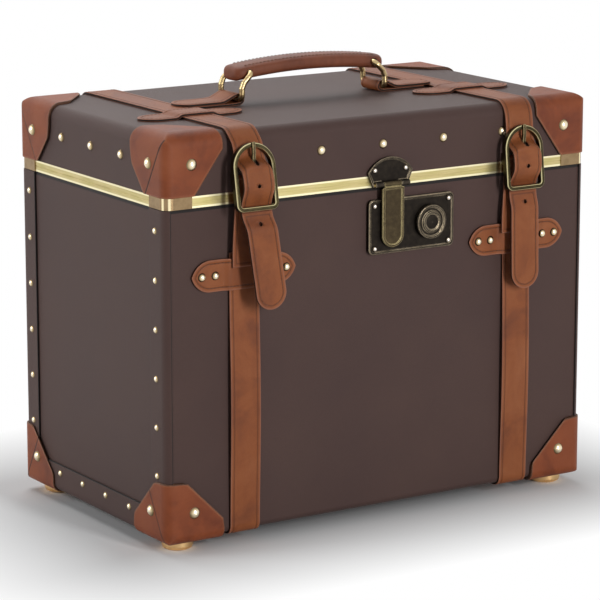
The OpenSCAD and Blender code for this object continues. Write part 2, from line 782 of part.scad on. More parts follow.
// The strip along one face, its outside at y = 0 and its middle at x = 0
module valance_run(l) {
  translate([-l / 2, 0, z_lid]) rotate([90, 0, 90]) linear_extrude(l) valance_section();
}
valance_out = valance_t - valance_in;
module valance_front() {
  color(brass_colour) translate([0, front_y - valance_out, 0]) valance_run(case_w - 2 * clip_len);
}
module valance_rear() {
  color(brass_colour) translate([0, rear_y + valance_out, 0]) rotate([0, 0, 180])
    valance_run(case_w - 2 * clip_len);
}
module valance_ends() {
  color(brass_colour) for (s = [-1, 1])
    translate([s * (case_w / 2 + valance_out), case_y, 0]) rotate([0, 0, s * 90])
      valance_run(case_d - 2 * clip_len);
}
module valance_corners() {
  g = valance_out + clip_t - valance_t;
  color("#9a8450") at_four_corners() intersection() {
    translate([0, -case_y, 0]) difference() {
      round_block(case_w + 2 * g, case_d + 2 * g, z_lid, z_lid + valance_h, edge_r + g, 0, 0);
      round_block(case_w - 2 * valance_in + 2 * seat, case_d - 2 * valance_in + 2 * seat,
                  z_lid - 1, z_top, edge_r - valance_in + seat, 0, 0);
    }
    translate([-case_w / 2 - 5, -case_d / 2 - 5, z_lid - 1])
      cube([5 + clip_len - seat, 5 + clip_len - seat, valance_h + 2]);
  }
}
module lid_studs() {
  z = z_lid + lid_stud_up;
  h = lid_stud_h;
  color(brass_colour) {
    for (i = [-2:2]) {
      stud_front(i * lid_stud_pitch, seat, z, lid_stud_d, h);
      stud_rear(abs(i) < 2 ? i * lid_stud_pitch : i / 2 * lid_stud_rear, seat, z, lid_stud_d, h);
    }
    for (side = [-1, 1], i = [-1:1])
      stud_end(side, case_y + i * lid_stud_pitch_end, seat, z, lid_stud_d, h);
  }
}
// Place of the outer studs on the back of the lid, beside the straps
lid_stud_rear = min(2 * lid_stud_pitch, strap_x - strap_w / 2 - lid_stud_d / 2 - 2 * fit);

// Lean of the plane that cuts the slanting edges of a lid corner: along the front, along the end, up
top_corner_slope = [1, 0.85, 0.73];
top_corner_turn = atan(top_corner_slope.y / top_corner_slope.x);
top_corner_tilt = atan(top_corner_slope.z / norm([top_corner_slope.x, top_corner_slope.y]));
top_corner_cut = top_corner_foot / norm(top_corner_slope);
// Leather corner at the left front of the lid, about the middle of the case in y
module top_corner() {
  seam_t = 0.8;
  difference() {
    intersection() {
      translate([0, -case_y, 0]) lid_block(strap_t);
      translate([-case_w / 2 - 2, -case_d / 2 - 2, z_top - lid_top_r]) sphere(r = top_corner_r);
      translate([-far / 2, -far / 2, z_lid + valance_h + seat]) cube(far);
      // Slanting edges of the patch, cut on the front and the end by one plane
      translate([-case_w / 2, -case_d / 2, z_lid + valance_h])
        rotate([0, top_corner_tilt, top_corner_turn])
          translate([-far, -far / 2, -far / 2]) cube([far + top_corner_cut, far, far]);
    }
    translate([0, -case_y, 0]) lid_block(seat);
    // Fold of the leather on the end
    translate([-case_w / 2 - strap_t, -case_d / 2 + 2, z_top - 4]) rotate([30, 0, 0])
      translate([-1, -seam_t, -60]) cube([1 + seam_t, seam_t, 60]);
  }
}
module top_corners() {
  color(leather_colour) at_four_corners() top_corner();
}
module top_corner_studs() {
  z = z_lid + lid_stud_up;
  color(brass_colour) for (side = [-1, 1]) {
    x = side * (case_w / 2 - corner_stud_in);
    stud_front(x, strap_t + seat, z, corner_stud_d, 2.4);
    stud_rear(x, strap_t + seat, z, corner_stud_d, 2.4);
    for (s = [-1, 1])
      stud_end(side, case_y + s * (case_d / 2 - corner_stud_in), strap_t + seat, z, corner_stud_d, 2.4);
  }
}

// Strap over the lid, from the rim at the back to the turn at the front edge
module lid_strap(side) {
  color(leather_colour) translate([side * strap_x, 0, 0]) translate([0, case_y, 0]) along_x(strap_w)
    difference() {
      round_rect(case_d + 2 * strap_t, z_lid - 2, z_top + strap_t, 0, lid_top_r + strap_t);
      round_rect(case_d + 2 * seat, z_lid - 3, z_top + seat, 0, lid_top_r + seat);
      // Open end before the turn of the front strap
      translate([flap_y - case_y, flap_z]) rotate(45) translate([-far + strap_t / 2 + fit, -far / 2])
        square([far, far]);
      square([far, z_lid + valance_h + 1]);
    }
}

// A buckle's place: height of its arch, lean of its frame and sideways shift
function rod_top(side) = z_top - (side < 0 ? buckle_drop_left : buckle_drop_right) - frame_w / 2;
function arch_out(side) = side < 0 ? arch_out_left : arch_out_right;
function lean(side) = asin(((side < 0 ? foot_out_left : foot_out_right) - arch_out(side)) / frame_run);
function shift(side) = side < 0 ? buckle_shift_left : 0;
// Distance out and height of a point at o in front of the frame's middle and at a below its arch
function held(side, o, a) = [
  arch_out(side) + o * cos(lean(side)) + a * sin(lean(side)),
  rod_top(side) - a * cos(lean(side)) + o * sin(lean(side))];
function all_held(side, points) = [for (q = points) held(side, q[0], q[1])];
// Places children drawn about the middle of the frame's arch
module at_buckle(side) {
  translate([side * strap_x + shift(side), front_y - arch_out(side), rod_top(side)])
    rotate([-lean(side), 0, 0]) children();
}
// Sideways place of the strap at the arch and at the foot, with play inside the frame
play = (buckle_w - 2 * frame_w - strap_w) / 2 - fit;
function strap_at_arch(side) = max(0, shift(side) - play);
function strap_at_foot(side) = side < 0 ? shift(side) + play : 0;

// Front strap: path from the turn at the lid's edge to the foot of the buckle
function front_path(side) = concat(
  curve_points([-lid_top_r, z_top - lid_top_r] + flap_r * [cos(45), sin(45)], [cos(45), -sin(45)],
               held(side, -strap_in_frame, 0), [sin(lean(side)), -cos(lean(side))], 8),
  all_held(side, concat(
    ease_points([-strap_in_frame, strap_cross], [strap_bulge, strap_cross + 10], 6),
    [[strap_bulge, bar_down + 4]],
    ease_points([strap_bulge, bar_down + 6], [-strap_in_frame, frame_run - 1], 8),
    [[-strap_in_frame, tail_down - strap_t / 2 - fit]])));
module front_strap(side) {
  top = rod_top(side);
  foot = held(side, -strap_in_frame, frame_run)[1];
  middle = [[0, z_top + 10], [0, flap_z - 3], [strap_at_arch(side), top], [strap_at_foot(side), foot],
            [strap_at_foot(side), foot - 20]];
  hole = [(strap_at_arch(side) + strap_at_foot(side)) / 2 - shift(side), bar_down + 6];
  color(leather_colour) difference() {
    translate([side * strap_x, 0, 0]) intersection() {
      along_x(2 * strap_w) {
        polygon(from_front(sheet_outline(front_path(side), strap_t)));
        translate([flap_y, flap_z]) circle(d = strap_turn_d);
      }
      translate([0, front_y, 0]) along_y(90) polygon(strip_outline(middle, strap_w));
    }
    // Hole that the prong comes through, and the free hole
    at_buckle(side) {
      translate([-prong_d / 2 - 0.4, -20, -strap_cross - 8.5]) cube([prong_d + 0.8, 40, 7]);
      translate([hole[0], 0, -hole[1]]) rotate([90, 0, 0]) cylinder(d = strap_hole_d, h = 30);
    }
  }
}
// Section of the buckle's frame, its front edge rounded more than its back
module frame_section() {
  w = frame_w / 2;
  edge = 1.2;
  translate([-w, -frame_d / 2 + edge]) square([frame_w, frame_d - edge - 0.01]);
  translate([-w + edge, -frame_d / 2]) square([frame_w - 2 * edge, edge + 0.01]);
  for (s = [-1, 1]) translate([s * (w - edge), -frame_d / 2 + edge]) circle(r = edge);
}
// Buckle: a frame bent to an arch with a straight foot, cheeks and the bar that the strap crosses
module buckle(side) {
  half = (buckle_w - frame_w) / 2;
  bend = 4;
  foot = -frame_run;
  cheek = bar_in + buckle_bar / 2 + 0.4;
  color(antique_colour) at_buckle(side) difference() {
    union() {
      translate([0, 0, -half]) rotate([90, 0, 0]) rotate_extrude(angle = 180)
        translate([half, 0]) mirror([0, 1]) frame_section();
      for (s = [0, 1]) mirror([s, 0, 0]) {
        translate([half, 0, foot + bend]) linear_extrude(-half - foot - bend) frame_section();
        translate([half - bend, 0, foot + bend]) rotate([90, 0, 0]) rotate([0, 0, -90])
          rotate_extrude(angle = 90) translate([bend, 0]) mirror([0, 1]) frame_section();
        translate([half - 1.2, 0, -bar_down - 4.5]) cube([2.4, cheek, 9]);
      }
      translate([-half + bend, 0, foot]) rotate([0, 90, 0]) linear_extrude(2 * (half - bend))
        frame_section();
      translate([-half, bar_in, -bar_down]) rotate([0, 90, 0]) cylinder(d = buckle_bar, h = 2 * half);
    }
    // Rest for the prong in the top of the arch
    translate([-prong_d / 2 - 0.4, -frame_d, -frame_w]) cube([prong_d + 0.8, frame_d / 2 + prong_rest, far]);
  }
}
// Prong: an eye on the bar and a finger that comes through the strap to its rest on the arch
module prong(side) {
  eye = buckle_bar / 2 + 0.15;
  back = -bar_in + eye + prong_d / 2 + 0.1;
  rest = frame_d / 2 - prong_rest + 0.1 + prong_d / 2;
  path = [[back, bar_down], [back + 0.1, 19], [back + 0.9, 16], [rest - 1.6, 11], [rest - 0.5, 6],
          [rest, 1], [rest, -2.2]];
  color(antique_colour) at_buckle(side) difference() {
    union() {
      along_x(prong_d) polygon(-sheet_outline(path, prong_d));
      translate([0, bar_in, -bar_down]) rotate([0, 90, 0])
        cylinder(r = eye + prong_d / 2, h = prong_d - 0.2, center = true);
    }
    translate([0, bar_in, -bar_down]) rotate([0, 90, 0]) cylinder(r = eye, h = 2 * prong_d, center = true);
  }
}
// Chape: leather hooked over the bar, running down over the keeper
function chape_path(side) =
  let (bar = held(side, -bar_in, bar_down), r = bar_wrap + chape_t / 2, z1 = keeper_z + keeper_w / 2 + 2)
  concat(
    arc_points(bar, r, -20, 180, 8),
    ease_points([bar[0] - r, bar[1] - 4], [chape_over_keeper, z1], 8),
    [[chape_over_keeper, keeper_z + keeper_w / 4 - 1]]);
// Sideways place of the chape at the bar and at its lower end
function chape_at_bar(side) = side < 0 ? shift(side) : 0.3 - play;
function chape_at_end(side) = side < 0 ? 0 : -4.5;
module chape(side) {
  z1 = held(side, -bar_in, bar_down)[1];
  middle = [[chape_at_bar(side), z1 + 6], [chape_at_bar(side), z1 - 6], [chape_at_end(side), keeper_z + 20],
            [chape_at_end(side), keeper_z - 6]];
  color(leather_colour) difference() {
    translate([side * strap_x, 0, 0]) intersection() {
      along_x(2 * strap_w) polygon(from_front(sheet_outline(chape_path(side), chape_t)));
      translate([0, front_y, 0]) along_y(60) polygon(strip_outline(middle, chape_w));
    }
    at_buckle(side) translate([-prong_d / 2 - 0.4, -20, -bar_down - 8]) cube([prong_d + 0.8, 40, 20]);
  }
}
// Tail: the free strap end below the buckle
function tail_top(side) = held(side, -strap_in_frame, tail_down);
function tail_path(side) =
  let (p = tail_top(side),
       out = side < 0 ? tail_out_left : tail_out_right,
       l = side < 0 ? tail_len_left : tail_len_right)
  concat(
    [p, held(side, -strap_in_frame, tail_down + 1)],
    ease_points(held(side, -strap_in_frame, tail_down + 2), [out - 0.5, p[1] - tail_bend], 8),
    ease_points([out - 0.5, p[1] - tail_bend - 5], [out, p[1] - l - 1], 4));
module tail(side) {
  p = tail_top(side);
  z0 = p[1] - (side < 0 ? tail_len_left : tail_len_right);
  x0 = strap_at_foot(side);
  drift = side < 0 ? tail_drift_left : tail_drift_right;
  r = strap_w / 2;
  middle = [[x0, p[1] + 3], [x0, p[1] - 1], [drift, z0 + r], [drift, z0 - 3]];
  color(leather_colour) translate([side * strap_x, 0, 0]) difference() {
    intersection() {
      along_x(3 * strap_w) {
        polygon(from_front(sheet_outline(tail_path(side), strap_t)));
        translate([front_y - p[0], p[1]]) circle(d = strap_turn_d);
      }
      translate([0, front_y, 0]) along_y(60) polygon(strip_outline(middle, strap_w));
    }
    // Round tip
    translate([drift, front_y, z0 + r]) along_y(70) difference() {
      translate([-2 * r, -2 * r]) square([4 * r, 2 * r]);
      circle(r = r + 0.05);
    }
    translate([x0 + 1, front_y, p[1] - 7.5]) rotate([90, 0, 0]) cylinder(d = strap_hole_d, h = 30);
  }
}

// Handle
module handle_chape(side) {
  r = ring_bore + strap_t / 2;
  low = z_top + strap_t / 2 + seat;
  high = z_top + 1.5 * strap_t + 3 * seat;
  // The under layer ends before the lid strap, the upper layer runs over it
  under = strap_x - strap_w / 2 - 5 - ring_x;
  path = concat(
    [[-under, low], [-8, low]],
    arc_points([0, ring_z], r, -90, 90, 10),
    [[-3, ring_z + r], [-13, high + 0.5], [-18, high], [-ring_chape_len, high]]);
  outline_w = ring_chape_w;
  color(leather_colour) mirror([side < 0 ? 0 : 1, 0, 0]) translate([-ring_x, case_y, 0]) intersection() {
    along_y(outline_w) polygon(sheet_outline(path, strap_t));
    translate([0, 0, z_top]) linear_extrude(30) union() {
      translate([-ring_chape_len + 12, -outline_w / 2]) square([ring_chape_len, outline_w]);
      translate([-ring_chape_len + 12, 0]) circle(d = outline_w);
    }
  }
}
// Ring bent from round rod: its legs stand upright, then bend in two steps towards the middle of the case
module ring(side) {
  corner = 4;
  knee = [0, 0.42 * ring_h];
  elbow = knee + 0.25 * ring_h * [sin(22.5), cos(22.5)];
  top = [ring_in, ring_h];
  color(brass_colour) translate([side * ring_x, case_y, ring_z]) mirror([side < 0 ? 0 : 1, 0, 0]) {
    ring_end(corner, knee[1]);
    for (s = [-1, 1]) translate([0, s * ring_w / 2, 0]) {
      translate([knee[0], 0, knee[1]]) ring_joint();
      translate([knee[0], 0, knee[1]]) rotate([0, lean_of(elbow - knee), 0])
        cylinder(d = ring_rod, h = norm(elbow - knee));
      translate([elbow[0], 0, elbow[1]]) ring_joint();
    }
    translate([top[0], 0, top[1]]) rotate([0, lean_of(top - elbow), 0]) mirror([0, 0, 1])
      ring_end(corner, norm(top - elbow));
  }
}
function lean_of(v) = atan2(v[0], v[1]);
module ring_joint() {
  sphere(d = ring_rod + 0.04);
}
// One end of a ring: a bar along y through the origin, with corners and legs up to height h
module ring_end(corner, h) {
  legs = ring_w / 2;
  rotate([90, 0, 0]) cylinder(d = ring_rod, h = 2 * (legs - corner), center = true);
  for (s = [0, 1]) mirror([0, s, 0]) {
    translate([0, legs - corner, corner]) rotate([90, 0, 90]) rotate([0, 0, -90]) rod_bend(corner, ring_rod);
    translate([0, legs, corner]) cylinder(d = ring_rod, h = h - corner);
  }
}
// Grip: an arched bar of leather with rounded ends, bored for the top of each ring
module handle_grip() {
  r = (grip_x * grip_x + grip_rise * grip_rise) / (2 * grip_rise);
  a = asin((grip_x + 1.5 * grip_end) / r);
  w = min(grip_w, ring_w - ring_rod - 1.6);
  edge = 4.5;
  end_x = grip_x + grip_end;
  color(leather_colour) translate([0, case_y, 0]) difference() {
    intersection() {
      translate([0, 0, grip_z + grip_rise - r]) rotate([90, 0, 0]) rotate([0, 0, 90 - a])
        rotate_extrude(angle = 2 * a, $fn = 96) translate([r, 0])
          round_rect(grip_t, -w / 2, w / 2, edge, edge);
      translate([0, 0, z_top]) linear_extrude(far) round_rect(2 * end_x, -w / 2 - 1, w / 2 + 1, w / 3, w / 3);
    }
    for (x = [-grip_x, grip_x, grip_x + eye_slack]) translate([x, 0, grip_z]) rotate([90, 0, 0])
      cylinder(r = ring_bore, h = 2 * w, center = true);
  }
}

// Mirror in the lid
module mirror_frame() {
  w = mirror_w + 2 * mirror_rim;
  d = mirror_d + 2 * mirror_rim;
  h = mirror_t + 2;
  z1 = z_top - inner - seat;
  color(wood_colour) difference() {
    translate([0, case_y, z1 - h]) linear_extrude(h) round_rect(w, -d / 2, d / 2, 8, 8);
    translate([0, case_y, z1 - h + 1.6]) linear_extrude(h)
      round_rect(mirror_w, -mirror_d / 2, mirror_d / 2, 3, 3);
    translate([0, case_y, z1 - h - 1]) linear_extrude(h)
      round_rect(mirror_w - 6, -mirror_d / 2 + 3, mirror_d / 2 - 3, 2, 2);
  }
}
module mirror_glass() {
  z1 = z_top - inner - 2 * seat;
  g = 0.4;
  color("#c8d4d8") translate([0, case_y, z1 - mirror_t]) linear_extrude(mirror_t)
    round_rect(mirror_w - 2 * g, -mirror_d / 2 + g, mirror_d / 2 - g, 2.6, 2.6);
}

// Hasp
module hasp_plate_outline(g) {
  half = hasp_plate_w / 2;
  r = hasp_plate_h + 1.5;
  translate([hasp_x, 0]) intersection() {
    translate([0, z_lid - 1.5]) circle(r = r + g);
    polygon([[-half + 5 - g, z_lid - g], [half - 5 + g, z_lid - g], [half + g, z_lid + 12],
             [half + g, z_lid + 40], [-half - g, z_lid + 40], [-half - g, z_lid + 12]]);
  }
}
module hasp_plate() {
  back = valance_out + 0.1;
  end = (hasp_plate_w / 2 - 5 - hasp_w / 2 + 2);
  color(antique_colour) translate([0, front_y, 0]) rotate([90, 0, 0]) difference() {
    union() {
      translate([0, 0, back]) linear_extrude(1.6) hasp_plate_outline(0);
      translate([0, 0, back + 1.59]) linear_extrude(0.9) difference() {
        hasp_plate_outline(0);
        hasp_plate_outline(-1.6);
      }
      for (s = [-1, 1]) translate([hasp_x + s * (hasp_plate_w / 2 - 5 - end / 2), pin_z, 0]) {
        translate([0, 0, pin_out]) rotate([0, 90, 0]) cylinder(d = hasp_knuckle, h = end, center = true);
        translate([-end / 2, -hasp_knuckle / 2 + 0.2, back]) cube([end, hasp_knuckle - 0.2, pin_out - back]);
      }
    }
    // Room for the hasp's roll
    translate([hasp_x - hasp_w / 2 + 1.6, pin_z, pin_out]) rotate([0, 90, 0])
      cylinder(d = hasp_knuckle + 2 * fit, h = hasp_w - 3.2);
    translate([hasp_x, pin_z, pin_out]) rotate([0, 90, 0])
      cylinder(d = hasp_pin_d + 0.3, h = 60, center = true);
  }
}
module hasp_rivets() {
  out = valance_out + 0.1 + 1.6 + seat;
  color(brass_colour) for (s = [-1, 1])
    stud_front(hasp_x + s * 14, out, z_lid + 13, 4.6, 1.6);
}
module hasp_pin() {
  color(brass_colour) translate([hasp_x, front_y - pin_out, pin_z]) rotate([0, 90, 0])
    cylinder(d = hasp_pin_d, h = hasp_plate_w - 10, center = true);
}
module hasp_outline(g) {
  half = hasp_w / 2 + g;
  foot = pin_z - hasp_len + hasp_w / 2;
  translate([hasp_x - half, foot]) square([2 * half, pin_z - foot - 1.6 + g]);
  translate([hasp_x, foot]) circle(r = half);
}
module hasp() {
  roll = hasp_w - 4;
  color(antique_colour) translate([0, front_y, 0]) rotate([90, 0, 0]) {
    difference() {
      union() {
        translate([0, 0, hasp_back]) linear_extrude(hasp_t) hasp_outline(0);
        translate([0, 0, hasp_back + hasp_t - 0.01]) linear_extrude(0.8) difference() {
          hasp_outline(-0.3);
          hasp_outline(-2.1);
        }
        translate([hasp_x, pin_z, pin_out]) rotate([0, 90, 0])
          cylinder(d = hasp_knuckle, h = roll, center = true);
      }
      // Clear of the plate's knuckles
      for (s = [-1, 1]) translate([hasp_x + s * (roll / 2 + 10), pin_z + 1, pin_out]) rotate([0, 90, 0])
        cylinder(d = hasp_knuckle + 4, h = 20 - 0.01, center = true);
      translate([hasp_x, pin_z, pin_out]) rotate([0, 90, 0])
        cylinder(d = hasp_pin_d + 0.3, h = 60, center = true);
    }
    // Nib that enters the lock
    translate([hasp_x - 2, nib_z - 2, hasp_back - 2.6]) cube([4, 4, 2.61]);
  }
}

base_shell();
base_lining();
base_lip();
end_binding(-1);  // end_binding_left
end_binding(1);  // end_binding_right
binding_studs();
bottom_corners();
bottom_corner_studs();
feet();
body_strap(-1);  // body_strap_left
body_strap(1);  // body_strap_right
keeper(-1);  // keeper_left
keeper(1);  // keeper_right
keeper_studs();
lock_plate();
lock_rivets();
lock_button();
lock_bolt();
hinge_base_leaves();
hinge_base_rivets();
hinge_pins();
tray_ledges();
tray();
tray_pulls();
lid_shell();
lid_lining();
valance_front();
valance_rear();
valance_ends();
valance_corners();
lid_studs();
top_corners();
top_corner_studs();
lid_strap(-1);  // lid_strap_left
lid_strap(1);  // lid_strap_right
top_keeper(-1);  // top_keeper_left
top_keeper(1);  // top_keeper_right
handle_chape(-1);  // handle_chape_left
handle_chape(1);  // handle_chape_right
ring(-1);  // ring_left
ring(1);  // ring_right
handle_grip();
mirror_frame();
mirror_glass();
hinge_lid_leaves();
hinge_lid_rivets();
hasp_plate();
hasp_rivets();
hasp_pin();
hasp();
front_strap(-1);  // front_strap_left
buckle(-1);  // buckle_left
prong(-1);  // prong_left
chape(-1);  // chape_left
tail(-1);  // tail_left
front_strap(1);  // front_strap_right
buckle(1);  // buckle_right
prong(1);  // prong_right
chape(1);  // chape_right
tail(1);  // tail_right
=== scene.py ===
"""Vanity case: leather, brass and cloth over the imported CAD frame."""

import json
import math

import bmesh
import bpy
import numpy as np
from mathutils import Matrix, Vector

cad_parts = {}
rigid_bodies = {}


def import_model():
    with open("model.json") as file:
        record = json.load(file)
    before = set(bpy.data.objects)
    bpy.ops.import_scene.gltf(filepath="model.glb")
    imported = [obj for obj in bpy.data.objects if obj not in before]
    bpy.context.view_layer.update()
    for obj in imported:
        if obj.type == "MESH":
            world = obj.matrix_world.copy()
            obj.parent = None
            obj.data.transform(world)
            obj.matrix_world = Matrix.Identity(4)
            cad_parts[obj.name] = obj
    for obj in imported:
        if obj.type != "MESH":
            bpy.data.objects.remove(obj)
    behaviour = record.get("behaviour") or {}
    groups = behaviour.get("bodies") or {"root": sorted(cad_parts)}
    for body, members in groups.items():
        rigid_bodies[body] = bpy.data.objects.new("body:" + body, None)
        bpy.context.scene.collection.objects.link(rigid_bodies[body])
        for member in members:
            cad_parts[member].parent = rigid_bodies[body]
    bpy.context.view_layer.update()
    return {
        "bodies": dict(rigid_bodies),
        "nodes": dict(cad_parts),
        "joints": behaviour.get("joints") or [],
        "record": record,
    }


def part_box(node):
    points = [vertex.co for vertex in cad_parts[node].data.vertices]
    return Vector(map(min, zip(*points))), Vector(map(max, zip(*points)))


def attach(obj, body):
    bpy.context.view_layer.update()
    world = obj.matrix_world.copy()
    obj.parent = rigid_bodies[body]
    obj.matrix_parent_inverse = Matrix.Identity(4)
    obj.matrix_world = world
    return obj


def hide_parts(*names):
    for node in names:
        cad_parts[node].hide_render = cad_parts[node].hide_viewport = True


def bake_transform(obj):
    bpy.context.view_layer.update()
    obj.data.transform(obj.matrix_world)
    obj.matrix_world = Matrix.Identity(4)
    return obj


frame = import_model()
NODES = frame["nodes"]
MM = 0.001


def node_box(name):
    """Low and high corner of a CAD node in mm."""
    return [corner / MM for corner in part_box(name)]


# Sizes in mm, as in the CAD source
BASE_LO, BASE_HI = node_box("base_shell")
FRONT_Y, REAR_Y = BASE_LO.y, BASE_HI.y
CASE_Y = (FRONT_Y + REAR_Y) / 2
CASE_W = BASE_HI.x - BASE_LO.x
CASE_D = REAR_Y - FRONT_Y
Z_BASE, Z_SPLIT = BASE_LO.z, BASE_HI.z
Z_TOP = node_box("lid_shell")[1].z
VALANCE_TOP = node_box("valance_rear")[1].z
BOTTOM_R = 5
LID_TOP_R = 9
FIT = 0.3
SEAT = 0.05
STRAP_T = 2.2
STRAP_W = 26
STRAP_X = 124.5
CHAPE_T = 1.6
CHAPE_HALF = 12.5
KEEPER_Z = Z_SPLIT - 51.5
KEEPER_W = 24
KEEPER_L = 90
KEEPER_TIP = 16
LID_KEEPER_Y = CASE_Y - 36
BINDING_W = 22
BINDING_WRAP = 4
RING_X = 66
RING_ROD = 4.4
BUCKLE_W = 36
BUCKLE_H = 50
FRAME_W = 3.4
FRAME_D = 5
FRAME_RUN = BUCKLE_H - FRAME_W
BAR_IN = 3.7
BAR_R = 1.4
BAR_DOWN = FRAME_RUN / 2
PRONG_HOLE_R = 1.6
STRAP_HOLE_R = 1.5
STRAP_IN_FRAME = FRAME_D / 2 + FIT + STRAP_T / 2
STRAP_BULGE = 5.2
STRAP_CROSS = 11
STRAP_RISE = 10
TAIL_DOWN = FRAME_RUN + FRAME_W / 2 + STRAP_T / 2 + 0.7
TAIL_BEND = 13
PLAY = (BUCKLE_W - 2 * FRAME_W - STRAP_W) / 2 - FIT
KEEPER_OUT = 2 * STRAP_T + SEAT + 0.1
CHAPE_OVER_KEEPER = KEEPER_OUT + FIT + CHAPE_T / 2
FLAP_R = LID_TOP_R + FIT + STRAP_T / 2

X_AXIS = (1, 0, 0)


class Buckled:
    """Where one of the two front straps, its buckle and its free end lie."""

    def __init__(self, name, side, drop, arch_out, foot_out, shift, tail, tail_out, drift, chape):
        self.name, self.side, self.x = name, side, side * STRAP_X
        self.shift, self.tail, self.tail_out, self.drift = shift, tail, tail_out, drift
        self.arch_out = arch_out
        self.top = Z_TOP - drop - FRAME_W / 2
        self.lean = math.asin((foot_out - arch_out) / FRAME_RUN)
        self.at_arch = max(0, shift - PLAY)
        self.at_foot = shift + PLAY if side < 0 else 0
        self.chape_at_bar, self.chape_at_keeper = chape

    def held(self, o, a):
        """Distance out and height of a point, o out of the frame's middle and a below its arch."""
        sin, cos = math.sin(self.lean), math.cos(self.lean)
        return (self.arch_out + o * cos + a * sin, self.top - a * cos + o * sin)

    def all_held(self, points):
        return [self.held(o, a) for o, a in points]


SIDES = [
    Buckled("left", -1, drop=8.5, arch_out=9.3, foot_out=17.5, shift=2, tail=72, tail_out=20,
            drift=12, chape=(2, 0)),
    Buckled("right", 1, drop=17, arch_out=7.5, foot_out=12.5, shift=0, tail=76, tail_out=12.5,
            drift=1, chape=(0.3 - PLAY, -4.5)),
]


# Node trees


def srgb(*screen):
    """Linear colour from red, green and blue of 0 to 255 as they look on a screen."""
    shares = [c / 255 for c in screen]
    return (*(c / 12.92 if c <= 0.04045 else ((c + 0.055) / 1.055) ** 2.4 for c in shares), 1)


class Nodes:
    """A node tree with short calls for the nodes used here."""

    def __init__(self, tree):
        self.tree = tree

    def put(self, socket, value):
        """Links or sets an input, or leaves it alone for None."""
        if isinstance(value, bpy.types.NodeSocket):
            self.tree.links.new(value, socket)
        elif value is not None:
            socket.default_value = value

    def node(self, kind, inputs, output=0, **settings):
        """Adds a node with its settings and inputs, and gives one of its outputs."""
        node = self.tree.nodes.new("ShaderNode" + kind)
        for name, value in settings.items():
            setattr(node, name, value)
        for name, value in inputs.items():
            self.put(node.inputs[name], value)
        return node.outputs[output]

    def math(self, operation, a, b=None, clamp=False):
        return self.node("Math", {0: a, 1: b}, operation=operation, use_clamp=clamp)

    def seen(self):
        """1 for rays that see the background: camera, glossy and transmission rays."""
        path = self.tree.nodes.new("ShaderNodeLightPath").outputs
        seen = self.math("MAXIMUM", path["Is Camera Ray"], path["Is Glossy Ray"])
        return self.math("MAXIMUM", seen, path["Is Transmission Ray"])

    def finish(self, kind, factor, first, second):
        """Makes the tree's output from two shaders, by a factor from 0 to 1."""
        output = self.tree.nodes.new(kind)
        mixed = self.node("MixShader", {"Fac": factor, 1: first, 2: second})
        self.tree.links.new(mixed, output.inputs["Surface"])


